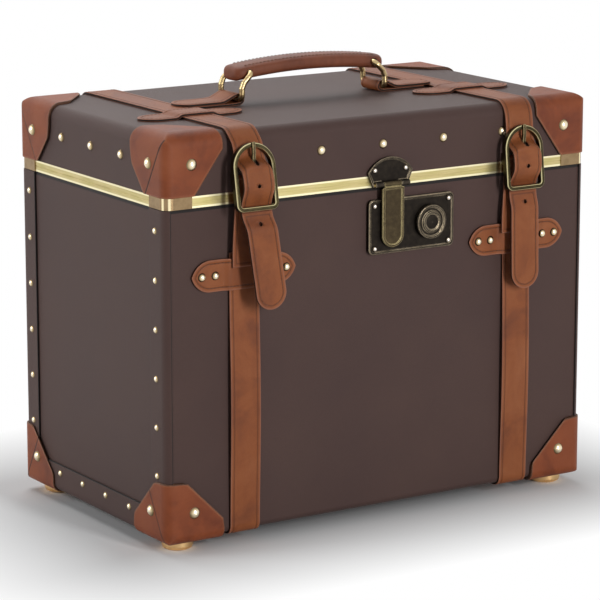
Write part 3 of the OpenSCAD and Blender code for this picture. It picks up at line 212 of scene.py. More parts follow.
class Shader(Nodes):
    """A new material on a principled shader."""

    def __init__(self, name):
        self.material = bpy.data.materials.new(name)
        self.material.use_nodes = True
        super().__init__(self.material.node_tree)
        self.bsdf = self.tree.nodes["Principled BSDF"]
        self.place = self.node("TexCoord", {}, "Object")

    def set(self, **values):
        """Sets inputs of the principled shader, named with _ for each space."""
        for name, value in values.items():
            self.put(self.bsdf.inputs[name.replace("_", " ")], value)

    def metal(self, tone, clouds, smoothest, roughest):
        self.set(Base_Color=tone, Metallic=1.0, Roughness=self.scaled(clouds, smoothest, roughest))

    def noise(self, scale, detail=2, rough=0.5, place=None, distortion=0):
        inputs = {"Vector": place or self.place, "Scale": scale, "Detail": detail,
                  "Roughness": rough, "Distortion": distortion}
        return self.node("TexNoise", inputs, "Fac")

    def cells(self, scale):
        """Distance from the borders of small cells."""
        inputs = {"Vector": self.place, "Scale": scale}
        return self.node("TexVoronoi", inputs, "Distance", feature="DISTANCE_TO_EDGE")

    def stretched(self, x, y, z):
        """Places for a noise that is streaked along an axis."""
        return self.node("Mapping", {"Vector": self.place, "Scale": (x, y, z)}, "Vector")

    def axis(self, name):
        """Place along an axis of the case, in metres."""
        return self.node("SeparateXYZ", {0: self.place}, name)

    def facing(self, name):
        """How squarely the surface faces along an axis of the case, from 0 to 1."""
        normal = self.node("TexCoord", {}, "Normal")
        return self.math("ABSOLUTE", self.node("SeparateXYZ", {0: normal}, name))

    def attribute(self, name):
        return self.node("Attribute", {}, "Fac", attribute_name=name)

    def ramp(self, value, *stops):
        """Numbers or colours between stops (position, value)."""
        node = self.tree.nodes.new("ShaderNodeValToRGB")
        self.put(node.inputs["Fac"], value)
        elements = node.color_ramp.elements
        while len(elements) < len(stops):
            elements.new(0.5)
        for element, (position, colour) in zip(elements, stops):
            element.position = position
            element.color = colour if isinstance(colour, tuple) else (colour, colour, colour, 1)
        return node.outputs["Color"]

    def mix(self, factor, a, b):
        return self.node("Mix", {"Factor": factor, "A": a, "B": b}, "Result", data_type="RGBA")

    def stain(self, tone, colour, value, *stops):
        """Lays a colour over a tone, by how much the stops give for a value."""
        return self.mix(self.ramp(value, *stops), tone, colour)

    def scaled(self, value, low, high):
        """A 0 to 1 value spread over low to high."""
        return self.node("MapRange", {"Value": value, "To Min": low, "To Max": high}, "Result")

    def window(self, value, low, high):
        """0 below low, 1 above high."""
        inputs = {"Value": value, "From Min": low, "From Max": high}
        return self.node("MapRange", inputs, "Result", interpolation_type="SMOOTHSTEP")

    def band(self, value, start, end, soft):
        """1 between start and end, 0 outside."""
        rise = self.window(value, start - soft, start)
        fall = self.window(value, end, end + soft)
        return self.math("SUBTRACT", rise, fall, clamp=True)

    def edge(self, radius):
        """1 on edges and 0 on flats, from how far a rounded normal leans off the true one."""
        rounded = self.node("Bevel", {"Radius": radius}, "Normal", samples=4)
        true = self.node("NewGeometry", {}, "Normal")
        along = self.node("VectorMath", {0: rounded, 1: true}, "Value", operation="DOT_PRODUCT")
        return self.math("SUBTRACT", 1.0, along, clamp=True), rounded

    def bump(self, height, distance, normal=None):
        inputs = {"Distance": distance, "Height": height, "Normal": normal}
        self.set(Normal=self.node("Bump", inputs, "Normal"))


# Materials. Lengths in them are in metres, as in the attributes that they read


# Near black of dyed cut edges, also used as painted shade below the base's rim and along bindings
# and patch edges
CUT_DARK_AND_SHADE = srgb(20, 13, 11)
CREASE_DARK = srgb(84, 42, 22)
# Lighter edge colour: partly burnished leather, partly a painted highlight
BURNISH_AND_HIGHLIGHT = srgb(164, 112, 92)
# Painted highlight on the ridges of the corner patches
RIDGE_HIGHLIGHT = srgb(186, 126, 92)
# Painted shade along the folds of the corner patches
FOLD_SHADE = srgb(44, 22, 14)
GRAIN_DARK = srgb(36, 26, 24)
# Painted highlight along the top and bottom edges of the rim strip
STRIP_EDGE_HIGHLIGHT = srgb(240, 230, 190)


def cover_leather(name, colour, light, painted_rim_shade=False, cut=False):
    """Dark leathercloth with a fine pressed grain. Its copies can get painted shade below the
    base's top rim and painted shade along a band's edges.
    """
    s = Shader(name)
    broad = s.noise(9, 3, 0.6)
    tone = s.stain(colour, light, broad, (0.3, 0.0), (0.75, 1.0))
    grain = s.cells(1500)
    tone = s.stain(tone, GRAIN_DARK, grain, (0.0, 0.3), (0.2, 0.0))
    if painted_rim_shade:
        # Painted shade in a band just below the base's top rim, for the shadowed gap under the
        # lid's brass strip
        rim_shade_band = s.window(s.axis("Z"), (Z_SPLIT - 2.6) * MM, (Z_SPLIT - 1.8) * MM)
        tone = s.mix(rim_shade_band, tone, CUT_DARK_AND_SHADE)
    if cut:
        # Painted shade: a near black line along the bindings' edges, where they step up from the
        # cover
        tone = s.mix(s.window(s.attribute("rim"), 0.0009, 0.0004), tone, CUT_DARK_AND_SHADE)
    s.set(Base_Color=tone, Roughness=s.scaled(broad, 0.5, 0.6), Specular_IOR_Level=0.24)
    s.set(Sheen_Weight=0.04, Sheen_Roughness=0.5)
    fine = s.math("MULTIPLY", s.noise(4200, 3), 0.5)
    s.bump(s.math("ADD", s.ramp(grain, (0.0, 0.0), (0.16, 1.0)), fine), 0.00006)
    return s.material


def tan_leather(name, colour, dark, light, crease=True, cut=False, seam=False):
    """Waxed tan leather. The rim and seam attributes are distances from edge and fold. Its lighter
    edge band is partly a painted highlight, and a patch gets a near black edge that is partly
    painted shade, a painted highlight on its ridges and painted shade along its folds.
    """
    s = Shader(name)
    mottle = s.noise(26, 4, 0.62, distortion=0.4)
    tone = s.ramp(mottle, (0.28, dark), (0.5, colour), (0.78, light))
    streak = s.noise(1.0, 3, 0.6, place=s.stretched(70, 70, 16))
    tone = s.stain(tone, dark, streak, (0.5, 0.0), (0.8, 0.35))
    pores = s.cells(1900)
    tone = s.stain(tone, dark, pores, (0.0, 0.3), (0.16, 0.0))
    rim = s.attribute("rim")
    if crease:
        # Lighter band along the rounded edges: partly burnished leather, partly a painted highlight
        burnish_and_highlight = s.math("SUBTRACT", 1.0, s.window(rim, 0.0004, 0.0016))
        tone = s.mix(s.math("MULTIPLY", burnish_and_highlight, 0.5), tone, BURNISH_AND_HIGHLIGHT)
        line = s.band(rim, 0.0027, 0.0031, 0.0007)
        tone = s.mix(s.math("MULTIPLY", line, 0.6), tone, CREASE_DARK)
    if cut:
        # A near black band at a patch's edge: its dyed cut edge, and partly painted shade
        tone = s.mix(s.window(rim, 0.0011, 0.0005), tone, CUT_DARK_AND_SHADE)
    if seam:
        # Painted highlight on the patches' ridges
        ridge_highlight, _ = s.edge(0.003)
        tone = s.stain(tone, RIDGE_HIGHLIGHT, ridge_highlight, (0.01, 0.0), (0.1, 0.55))
        # Painted shade along the fold line on the end face
        fold = s.window(s.attribute("seam"), 0.0009, 0.0003)
        tone = s.mix(s.math("MULTIPLY", fold, 0.9), tone, FOLD_SHADE)
    wrinkle = s.noise(240, 4, 0.6, distortion=0.6)
    s.set(Base_Color=tone, Roughness=s.scaled(mottle, 0.4, 0.54), Specular_IOR_Level=0.22)
    s.set(Coat_Weight=0.03, Coat_Roughness=0.3)
    pore_height = s.math("MULTIPLY", s.ramp(pores, (0.0, 0.0), (0.2, 1.0)), 0.35)
    s.bump(s.math("ADD", pore_height, wrinkle), 0.00014)
    return s.material


def cut_edge_and_shade(name, colour, light):
    """Dark dyed and burnished edge of cut leather, near black as partly painted shade beside the
    straps.
    """
    s = Shader(name)
    fibre = s.noise(700, 4, 0.6)
    s.set(Base_Color=s.stain(colour, light, fibre, (0.4, 0.0), (0.8, 1.0)), Roughness=0.55)
    s.set(Specular_IOR_Level=0.2)
    s.bump(fibre, 0.00005)
    return s.material


def brass(name, colour, dark, roughness, tarnish, painted_glint=None):
    """Polished brass, duller in patches, scratched or with two painted glints on a round corner."""
    s = Shader(name)
    clouds = s.noise(150, 4, 0.6)
    tone = s.stain(colour, dark, clouds, (0.45, 0.0), (0.85, tarnish))
    if painted_glint:
        # Painted highlight: two upright glints where the round corner turns
        turned = s.math("MULTIPLY", s.facing("X"), s.facing("Y"))
        tone = s.mix(s.band(turned, 0.3, 0.42, 0.05), tone, painted_glint)
    else:
        s.bump(s.noise(1.0, place=s.stretched(400, 400, 3200)), 0.00001)
    s.metal(tone, clouds, roughness, roughness + 0.14)
    return s.material


def domed_brass(name, crown, colour, rim):
    """Brass of a domed stud or rivet head, with a painted highlight on its crown and painted shade
    round its rim.
    """
    s = Shader(name)
    off_middle = s.math("ABSOLUTE", s.axis("X"))
    on_end = s.window(off_middle, (CASE_W / 2 - 0.4) * MM, (CASE_W / 2 + 0.4) * MM)
    square_on = s.mix(on_end, s.facing("Y"), s.facing("X"))
    # Painted highlight on the crown and painted shade round the rim, by how squarely the dome faces
    # out
    tone = s.ramp(square_on, (0.6, rim), (0.78, colour), (0.95, crown))
    s.metal(tone, s.noise(300, 3, 0.6), 0.2, 0.3)
    return s.material


def edge_strip(name, colour, dark, green):
    """Satin brass of the rim strip, brushed along its length, with greenish and dull patches and
    painted highlights along its top and bottom edges.
    """
    s = Shader(name)
    clouds = s.noise(1.0, 4, 0.65, place=s.stretched(60, 60, 200))
    brushed = s.noise(1.0, 4, 0.6, place=s.stretched(40, 40, 1500))
    tone = s.stain(colour, green, clouds, (0.35, 0.0), (0.75, 0.75))
    tone = s.stain(tone, dark, brushed, (0.4, 0.0), (0.75, 0.5))
    # 1 between the painted highlights at the strip's top and bottom edges
    face = s.band(s.axis("Z"), (Z_SPLIT + 2.2) * MM, (VALANCE_TOP - 1.6) * MM, 0.0006)
    s.metal(s.mix(face, STRIP_EDGE_HIGHLIGHT, tone), clouds, 0.26, 0.42)
    s.bump(brushed, 0.00002)
    return s.material


def antique_brass(name, colour, cloud, bright, side_highlights=False):
    """Blackened brass, rubbed bright along its edges, or with painted highlights towards both
    sides.
    """
    s = Shader(name)
    clouds = s.noise(260, 4, 0.65)
    tone = s.stain(colour, cloud, clouds, (0.4, 0.0), (0.8, 0.6))
    if side_highlights:
        # Painted highlight: bright bands where the surface turns towards the sides
        turned = s.math("SUBTRACT", 1.0, s.facing("Y"), clamp=True)
        s.metal(s.mix(s.band(turned, 0.2, 0.55, 0.12), tone, bright), clouds, 0.26, 0.4)
        s.bump(clouds, 0.00003)
        return s.material
    edge, rounded = s.edge(0.0012)
    rubbed = s.ramp(clouds, (0.25, 0.45), (0.6, 1.0))
    worn = s.math("MULTIPLY", s.ramp(edge, (0.0, 0.0), (0.1, 1.0)), rubbed)
    smoother = s.math("MULTIPLY", worn, 0.12)
    s.set(Base_Color=s.mix(worn, tone, bright), Metallic=1.0)
    s.set(Roughness=s.math("SUBTRACT", s.scaled(clouds, 0.34, 0.48), smoother))
    s.bump(clouds, 0.00004, rounded)
    return s.material


def woven_cloth(name, colour, dark, pitch=0.0009):
    """Plain woven cloth, as thread crossings over and under."""
    s = Shader(name)
    turns = 2 * math.pi / pitch
    waves = [s.math("SINE", s.math("MULTIPLY", s.axis(axis), turns)) for axis in "XYZ"]
    pairs = [s.math("MULTIPLY", waves[i], waves[(i + 1) % 3]) for i in range(3)]
    weave = s.math("ADD", s.math("ADD", pairs[0], pairs[1]), pairs[2])
    weave = s.scaled(s.math("MULTIPLY", weave, 0.5), 0.3, 1.0)
    slub = s.noise(60, 4, 0.7)
    tone = s.stain(colour, dark, slub, (0.3, 0.0), (0.8, 0.6))
    tone = s.stain(tone, dark, weave, (0.1, 0.5), (0.8, 0.0))
    s.set(Base_Color=tone, Roughness=0.88, Specular_IOR_Level=0.2)
    s.set(Sheen_Weight=0.2, Sheen_Roughness=0.5)
    s.bump(weave, 0.00012)
    return s.material


def polished_wood(name, colour, dark):
    """Straight-grained wood under satin varnish."""
    s = Shader(name)
    grain = s.noise(1.0, 5, 0.6, place=s.stretched(8, 160, 160), distortion=0.8)
    rings = s.noise(1.0, 2, 0.5, place=s.stretched(3, 30, 30), distortion=1.5)
    tone = s.stain(colour, dark, grain, (0.35, 0.0), (0.65, 0.85))
    tone = s.stain(tone, dark, rings, (0.45, 0.0), (0.6, 0.35))
    s.set(Base_Color=tone, Roughness=s.scaled(grain, 0.34, 0.46))
    s.set(Coat_Weight=0.2, Coat_Roughness=0.25)
    s.bump(grain, 0.00004)
    return s.material


def mirror_glass(name):
    """Silvered glass with a faint haze."""
    s = Shader(name)
    haze = s.noise(30, 3, 0.6)
    s.metal(s.mix(haze, srgb(222, 228, 230), srgb(210, 218, 221)), haze, 0.015, 0.04)
    return s.material


def thread(name, colour, dark):
    """Waxed linen thread with its twist."""
    s = Shader(name)
    twist = s.noise(1.0, 2, 0.5, place=s.stretched(2200, 2200, 900))
    s.set(Base_Color=s.stain(colour, dark, twist, (0.35, 0.0), (0.7, 0.8)), Roughness=0.6)
    s.bump(twist, 0.00004)
    return s.material


COVER = srgb(74, 53, 49), srgb(84, 62, 56)
TAN = srgb(146, 82, 44), srgb(112, 58, 32), srgb(162, 98, 60)
PATCH = srgb(142, 73, 40), srgb(108, 50, 28), srgb(158, 88, 54)
GRIP = srgb(130, 74, 52), srgb(84, 42, 28), srgb(148, 90, 66)
STRIP_BRASS = srgb(206, 190, 138), srgb(142, 124, 72), srgb(178, 170, 106)
# The last colour is the painted glint on the clips' round corners
CLIP_BRASS = srgb(152, 128, 96), srgb(98, 76, 50), 0.14, 0.6, srgb(250, 234, 190)
# Crown, body and rim of domed heads: a painted highlight on the crown, painted shade at the rim
STUD_BRASS = srgb(238, 224, 194), srgb(190, 168, 128), srgb(66, 50, 36)
SCREW_BRASS = srgb(226, 216, 206), srgb(158, 146, 130), srgb(54, 47, 40)
ANTIQUE = srgb(34, 30, 27), srgb(54, 48, 40), srgb(176, 160, 134)
ANTIQUE_LIGHT = srgb(60, 51, 38), srgb(88, 76, 54), srgb(188, 172, 126)
# The last colour is the painted highlight towards the sides of the buckle frames
FRAME_BRASS = srgb(56, 50, 34), srgb(86, 78, 52), srgb(206, 196, 150)
MATERIALS = {
    "cover": cover_leather("cover_leathercloth", *COVER),
    "cover_base": cover_leather("cover_leathercloth_base", *COVER, painted_rim_shade=True),
    "cover_band": cover_leather("cover_leathercloth_band", *COVER, cut=True),
    "tan": tan_leather("tan_leather_creased", *TAN),
    "tan_patch": tan_leather("tan_leather_patch", *PATCH, crease=False, cut=True, seam=True),
    "tan_plain": tan_leather("tan_leather_plain", *TAN, crease=False),
    "grip": tan_leather("grip_leather", *GRIP, crease=False),
    # Near black edges of cut leather: dyed, and partly painted shade
    "cut_edge_and_shade": cut_edge_and_shade("cut_leather_edge", srgb(22, 13, 10), srgb(46, 28, 21)),
    "thread": thread("stitching_thread", srgb(118, 70, 44), srgb(76, 42, 26)),
    "brass": brass("brass_polished", srgb(188, 166, 122), srgb(98, 74, 44), 0.2, 0.8),
    # Paler brass for the feet as painted light, since they sit in shade
    "foot_brass_painted_light": brass("brass_feet", srgb(246, 206, 148), srgb(196, 146, 92), 0.25, 0.5),
    "strip_brass": edge_strip("brass_edge_strip", *STRIP_BRASS),
    "clip_brass": brass("brass_clips", *CLIP_BRASS),
    "stud_brass": domed_brass("brass_studs", *STUD_BRASS),
    "screw_brass": domed_brass("brass_screws", *SCREW_BRASS),
    "antique": antique_brass("antique_brass", *ANTIQUE),
    "antique_light": antique_brass("antique_brass_light", *ANTIQUE_LIGHT),
    "frame_brass": antique_brass("brass_buckle_frames", *FRAME_BRASS, side_highlights=True),
    "cloth": woven_cloth("lining_cloth", srgb(160, 146, 124), srgb(126, 112, 92)),
    "board": woven_cloth("tray_cloth", srgb(172, 152, 122), srgb(138, 118, 90), 0.0012),
    "lip": woven_cloth("lip_cloth", srgb(112, 78, 60), srgb(78, 52, 40)),
    "wood": polished_wood("wood_satin", srgb(132, 94, 64), srgb(84, 54, 34)),
    "mirror": mirror_glass("mirror_silvered"),
}
FACE, THREAD, EDGE = 0, 1, 2
STRIP_MATERIALS = ["tan", "thread", "cut_edge_and_shade"]


def paint(mesh, material):
    """Gives a mesh one material and no other."""
    mesh.materials.clear()
    mesh.materials.append(MATERIALS[material])


def dress(material, *names):
    """Gives CAD nodes a material."""
    for name in names:
        paint(NODES[name].data, material)


# Mesh tools


def add_object(name, data):
    made = bpy.data.objects.new(name, data)
    bpy.context.scene.collection.objects.link(made)
    return made


def finish_piece(piece, body, *replaced, slot="tan_leather", blend=None):
    """Hides the CAD nodes that a finished piece stands for and attaches the piece to its body,
    except with a blend, where its place is only fixed in its mesh. The slot is not used.
    """
    if blend:
        other, start, end = blend
        [c * MM for c in start]
        [c * MM for c in end]
        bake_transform(piece)
    else:
        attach(piece, body)
    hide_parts(*replaced)


def set_attribute(mesh, name, values):
    """A number per point, given in mm."""
    attribute = mesh.attributes.new(name, "FLOAT", "POINT")
    attribute.data.foreach_set("value", (np.asarray(values, float) * MM).astype(np.float32))


def new_piece(name, points, faces, materials, face_material=None, rim=None, smooth=True):
    """A mesh piece from points in mm."""
    mesh = bpy.data.meshes.new(name)
    mesh.from_pydata([tuple(float(c) * MM for c in p) for p in points], [], faces)
    for material in materials:
        mesh.materials.append(MATERIALS[material])
    if face_material is not None:
        mesh.polygons.foreach_set("material_index", face_material)
    mesh.polygons.foreach_set("use_smooth", [smooth] * len(mesh.polygons))
    if rim is not None:
        set_attribute(mesh, "rim", rim)
    mesh.update()
    return add_object(name, mesh)


def places_mm(mesh):
    """A mesh's points in mm, one row each."""
    places = np.zeros(len(mesh.vertices) * 3)
    mesh.vertices.foreach_get("co", places)
    return places.reshape(-1, 3) / MM


def bake_modifiers(piece):
    """Replaces a piece's mesh by what its modifiers make."""
    depsgraph = bpy.context.evaluated_depsgraph_get()
    mesh = bpy.data.meshes.new_from_object(piece.evaluated_get(depsgraph), depsgraph=depsgraph)
    piece.modifiers.clear()
    piece.data = mesh


def merge_close(piece, distance=0.004):
    """Joins points that all but coincide and turns all faces outwards."""
    mesh = bmesh.new()
    mesh.from_mesh(piece.data)
    bmesh.ops.remove_doubles(mesh, verts=mesh.verts, dist=distance * MM)
    bmesh.ops.recalc_face_normals(mesh, faces=mesh.faces)
    mesh.to_mesh(piece.data)
    mesh.free()


def arc(centre, radius, start, end, count):
    """Points of an arc, angles in degrees."""
    angles = np.radians(np.linspace(start, end, count + 1))
    return [(centre[0] + radius * math.cos(a), centre[1] + radius * math.sin(a)) for a in angles]


def ease(p, q, count):
    """Points of a smooth run from p to q, level at both ends."""
    return [(p[0] + (q[0] - p[0]) * (1 - math.cos(math.pi * i / count)) / 2,
             p[1] + (q[1] - p[1]) * i / count) for i in range(count + 1)]


def curve(p, leaving, q, arriving, count):
    """Points of a curve from p to q that leaves and arrives along the given directions."""
    p, q, leaving, arriving = (np.array(v, float) for v in (p, q, leaving, arriving))
    third = np.linalg.norm(q - p) / 3
    points = []
    for k in np.linspace(0, 1, count + 1):
        m = 1 - k
        points.append(tuple(m ** 3 * p + 3 * m * m * k * (p + third * leaving)
                            + 3 * m * k * k * (q - third * arriving) + k ** 3 * q))
    return points


def resample(path, step):
    """Points along a path at an even step, after rounding its bends a little."""
    points = np.array(path, float)
    keep = np.r_[True, np.linalg.norm(np.diff(points, axis=0), axis=1) > 1e-6]
    points = points[keep]
    lengths = np.r_[0, np.cumsum(np.linalg.norm(np.diff(points, axis=0), axis=1))]
    count = max(2, int(round(lengths[-1] / step)))
    at = np.linspace(0, lengths[-1], count + 1)
    even = np.stack([np.interp(at, lengths, points[:, i]) for i in range(3)], 1)
    for _ in range(3):
        even[1:-1] = (even[:-2] + 2 * even[1:-1] + even[2:]) / 4
    return even


class Ribbon:
    """The middle of a strip of leather that follows a path, with the direction of its width."""

    def __init__(self, path, across, step=1.5):
        self.points = resample(path, step)
        self.across = np.array(across, float)
        normal = np.cross(np.gradient(self.points, axis=0), self.across)
        self.normal = normal / np.linalg.norm(normal, axis=1)[:, None]
        self.s = np.r_[0, np.cumsum(np.linalg.norm(np.diff(self.points, axis=0), axis=1))]
        self.length = self.s[-1]

    def at(self, s, u, n):
        """Places in space for distances s along, u across and n out of the middle."""
        s, u, n = np.broadcast_arrays(*(np.asarray(v, float) for v in (s, u, n)))
        middle = np.stack([np.interp(s, self.s, self.points[:, i]) for i in range(3)], -1)
        normal = np.stack([np.interp(s, self.s, self.normal[:, i]) for i in range(3)], -1)
        return middle + u[..., None] * self.across + n[..., None] * normal


def outline_distance(outline, s, u):
    """Distance of points (s, u) from a closed outline of (s, u) points."""
    a = outline
    d = np.roll(outline, -1, axis=0) - a
    p = np.stack([s, u], -1).reshape(-1, 1, 2)
    t = np.clip(((p - a) * d).sum(-1) / np.maximum((d ** 2).sum(1), 1e-12), 0, 1)
    nearest = a + t[..., None] * d
    return np.sqrt(((p - nearest) ** 2).sum(-1)).min(1).reshape(np.shape(s))


# Distances from a strip's edge at which its face has points
EDGE_STEPS = [0, 0.12, 0.3, 0.5, 0.9, 1.5, 2.2, 2.5, 2.9, 3.3, 3.7, 5.0]
EDGE_STEPS += [STRAP_W * 0.35, STRAP_W / 2]
EDGE_ROUND = 0.45
CREASE_AT = 2.9
CREASE_HALF = 0.45
POINT_HALF = 0.02


def strip_height(rim, thickness, crease):
    """Height of the face over the middle of the thickness, for a distance from the edge."""
    r = min(EDGE_ROUND, thickness * 0.45)
    lean = np.clip(r - rim, 0, r)
    height = thickness / 2 - (r - np.sqrt(np.maximum(r * r - lean * lean, 0)))
    return height - crease * np.exp(-((rim - CREASE_AT) / CREASE_HALF) ** 2)


def near_ends(length, half):
    """Closer stations near pointed or round ends."""
    near = np.r_[0, 0.05, 0.15, 0.3, np.arange(0.5, 18, 0.5)]
    none = near[:0]
    return np.r_[near if half(0.0) < 1 else none, length - near if half(length) < 1 else none]


def strip_faces(rows, count):
    """Faces of a strip's front and back grids, with the dark walls between them."""
    base = rows * count
    faces = []
    for a in range(base - count):
        if (a + 1) % count:
            d = a + count
            faces += [(a, a + 1, d + 1, d), (base + d, base + d + 1, base + a + 1, base + a)]
    grid = np.arange(base).reshape(rows, count)
    border = np.r_[grid[0, ::-1], grid[1:, 0], grid[-1, 1:], grid[-2::-1, -1]].tolist()
    walls = [(a, b, base + b, base + a) for a, b in zip(border, border[1:])]
    return faces + walls, [FACE] * len(faces) + [EDGE] * len(walls)


def leather_strip(name, ribbon, half, thickness=STRAP_T, crease=0.28, end=None):
    """A strip with rounded edges and a pressed crease, up to end. half(s) is its half width."""
    end = ribbon.length if end is None else end
    stations = np.unique(np.r_[ribbon.s[ribbon.s < end], end, near_ends(end, half)])
    halves = np.array([max(half(s), POINT_HALF) for s in stations])
    outline = np.r_[np.stack([stations, halves], 1), np.stack([stations, -halves], 1)[::-1]]
    inset = np.minimum(EDGE_STEPS, halves[:, None])
    u = np.concatenate([inset - halves[:, None], (halves[:, None] - inset)[:, ::-1][:, 1:]], axis=1)
    s = np.broadcast_to(stations[:, None], u.shape)
    rim = outline_distance(outline, s, u)
    top = ribbon.at(s, u, strip_height(rim, thickness, crease))
    bottom = ribbon.at(s, u, -strip_height(rim, thickness, 0))
    faces, kinds = strip_faces(*u.shape)
    points = np.r_[top.reshape(-1, 3), bottom.reshape(-1, 3)]
    piece = new_piece(name, points, faces, STRIP_MATERIALS, kinds, np.r_[rim.ravel(), rim.ravel()])
    merge_close(piece)
    return piece


def stitch_run(points, normals, pitch):
    """Even places and directions of stitches along a run of points."""
    along = np.r_[0, np.cumsum(np.linalg.norm(np.diff(points, axis=0), axis=1))]
    count = max(1, int(along[-1] / pitch))
    at = (np.arange(count) + 0.5) * along[-1] / count

    def between(values, where):
        return np.stack([np.interp(where, along, values[:, i]) for i in range(3)], 1)

    ahead = between(points, at + pitch * 0.3) - between(points, at - pitch * 0.3)
    ahead /= np.maximum(np.linalg.norm(ahead, axis=1), 1e-9)[:, None]
    normal = between(normals, at)
    normal /= np.linalg.norm(normal, axis=1)[:, None]
    return zip(between(points, at), ahead, normal)


# Places along a stitch and its width there, as shares of its length and radius
STITCH_PROFILE = [(-0.5, 0.25), (-0.38, 0.8), (0.0, 1.0), (0.38, 0.8), (0.5, 0.25)]
STITCH_SIDES = 6


def stitch_points(spot, ahead, normal, length, radius):
    """Rings of points of one small waisted stitch, sunk a little in the leather."""
    side = np.cross(ahead, normal)
    points = []
    for along, width in STITCH_PROFILE:
        lift = radius * (0.45 - 2.6 * along * along)
        for k in range(STITCH_SIDES):
            angle = 2 * math.pi * k / STITCH_SIDES
            out = side * math.cos(angle) + normal * math.sin(angle)
            points.append(spot + ahead * along * length + normal * lift + out * radius * width)
    return points


def tube_faces(first, rings, sides):
    """Faces of a tube through rings of points, with both ends closed."""
    last = first + (rings - 1) * sides
    faces = []
    for start in range(first, last, sides):
        for k in range(sides):
            a, b = start + k, start + (k + 1) % sides
            faces.append((a, b, b + sides, a + sides))
    return faces + [tuple(range(first, first + sides))[::-1], tuple(range(last, last + sides))]


def add_stitches(piece, runs, pitch=3.2, length=2.2, radius=0.3):
    """Joins stitches to a piece as part of its mesh, in the thread material."""
    points, faces = [], []
    for run in runs:
        for stitch in stitch_run(*run, pitch):
            faces += tube_faces(len(points), len(STITCH_PROFILE), STITCH_SIDES)
            points += stitch_points(*stitch, length, radius)
    mesh = bmesh.new()
    mesh.from_mesh(piece.data)
    made = [mesh.verts.new([float(c) * MM for c in v]) for v in points]
    rim = mesh.verts.layers.float.get("rim")
    if rim:
        for vertex in made:
            vertex[rim] = 1.0
    for face in faces:
        made_face = mesh.faces.new([made[i] for i in face])
        made_face.material_index = THREAD
        made_face.smooth = True
    mesh.to_mesh(piece.data)
    mesh.free()


STITCH_SUNK = 0.2


def edge_runs(ribbon, half, start, end, inset=CREASE_AT):
    """Two runs on a strip's face at a fixed distance from its edges, joined round a closed end."""
    stations = np.arange(start, end, 0.5)
    halves = np.array([half(s) for s in stations])
    slope = np.gradient(halves, stations)
    s = stations + slope / np.sqrt(1 + slope ** 2) * inset
    u = halves - inset / np.sqrt(1 + slope ** 2)
    inside = (u > 0.2) & (s > start) & (s < end)
    order = np.argsort(s[inside])
    s, u = s[inside][order], u[inside][order]
    normal = ribbon.at(s, 0, 1) - ribbon.at(s, 0, 0)
    return [(ribbon.at(s, side * u, STRAP_T / 2 - STITCH_SUNK), normal) for side in (-1, 1)]


HOLE_SIDES = 20


def cut_hole(piece, centre, radius, depth=40, stretch=0.0):
    """Cuts a round or long hole with dark walls through a piece, from front to back."""
    x, y, z = centre
    points = []
    for end in (y - depth / 2, y + depth / 2):
        for k in range(HOLE_SIDES):
            a = 2 * math.pi * k / HOLE_SIDES
            rise = math.sin(a) * radius + math.copysign(stretch / 2, math.sin(a))
            points.append((x + math.cos(a) * radius, end, z + rise))
    cutter = new_piece("cutter", points, tube_faces(0, 2, HOLE_SIDES), ["cut_edge_and_shade"], smooth=False)
    merge_close(cutter)
    cut = piece.modifiers.new("cut", "BOOLEAN")
    cut.operation = "DIFFERENCE"
    cut.solver = "EXACT"
    cut.material_mode = "TRANSFER"
    cut.object = cutter
    bake_modifiers(piece)
    bpy.data.objects.remove(cutter)


# Leather straps


def strap_half(_s):
    """Half width of a plain strap."""
    return STRAP_W / 2


def round_end(width, end):
    """Half width of a strip with a half round end at end."""
    def half(s):
        back = max(0.0, s - (end - width))
        return math.sqrt(max(width * width - back * back, 0))
    return half


def in_front(path, places):
    """Points in space of a path (out of the front, height), with places (x, height) from above."""
    across, heights = zip(*places[::-1])
    return [(float(np.interp(z, heights, across)), FRONT_Y - out, z) for out, z in path]


def over_lid(x):
    """Path of a strap from the rim at the back over the lid to the turn at the front edge."""
    up = STRAP_T / 2 + SEAT
    r = LID_TOP_R + up
    rear = [(REAR_Y + up, VALANCE_TOP + 1)]
    rear += arc((REAR_Y - LID_TOP_R, Z_TOP - LID_TOP_R), r, 0, 90, 12)
    front = arc((FRONT_Y + LID_TOP_R, Z_TOP - LID_TOP_R), r + 0.15, 90, 130, 6)
    return [(x, y, z) for y, z in rear + front]


def down_front(b):
    """Path of a strap from the lid's edge under the arch, over the bar and behind the foot."""
    slant = math.sqrt(0.5)
    turn = (FLAP_R * slant - LID_TOP_R, Z_TOP - LID_TOP_R + FLAP_R * slant)
    run = curve(turn, (slant, -slant), b.held(-STRAP_IN_FRAME, 0),
                (math.sin(b.lean), -math.cos(b.lean)), 10)
    start, end = (-STRAP_IN_FRAME, STRAP_CROSS), (STRAP_BULGE, STRAP_CROSS + STRAP_RISE)
    run += b.all_held(ease(start, end, 8))
    run += b.all_held([(STRAP_BULGE, BAR_DOWN + 4)])
    run += b.all_held(ease((STRAP_BULGE, BAR_DOWN + 6), (-STRAP_IN_FRAME, FRAME_RUN - 1), 10))
    run += b.all_held([(-STRAP_IN_FRAME, TAIL_DOWN - STRAP_T / 2 - FIT)])
    foot = b.held(-STRAP_IN_FRAME, FRAME_RUN)[1]
    places = [(b.x, turn[1] - 3), (b.x + b.at_arch, b.top), (b.x + b.at_foot, foot)]
    return turn, in_front(run, places)


# How much sooner a strap's middle rises than its edges, and half the length of its bend
CUP = 5
FLAP_BEND = 4.5


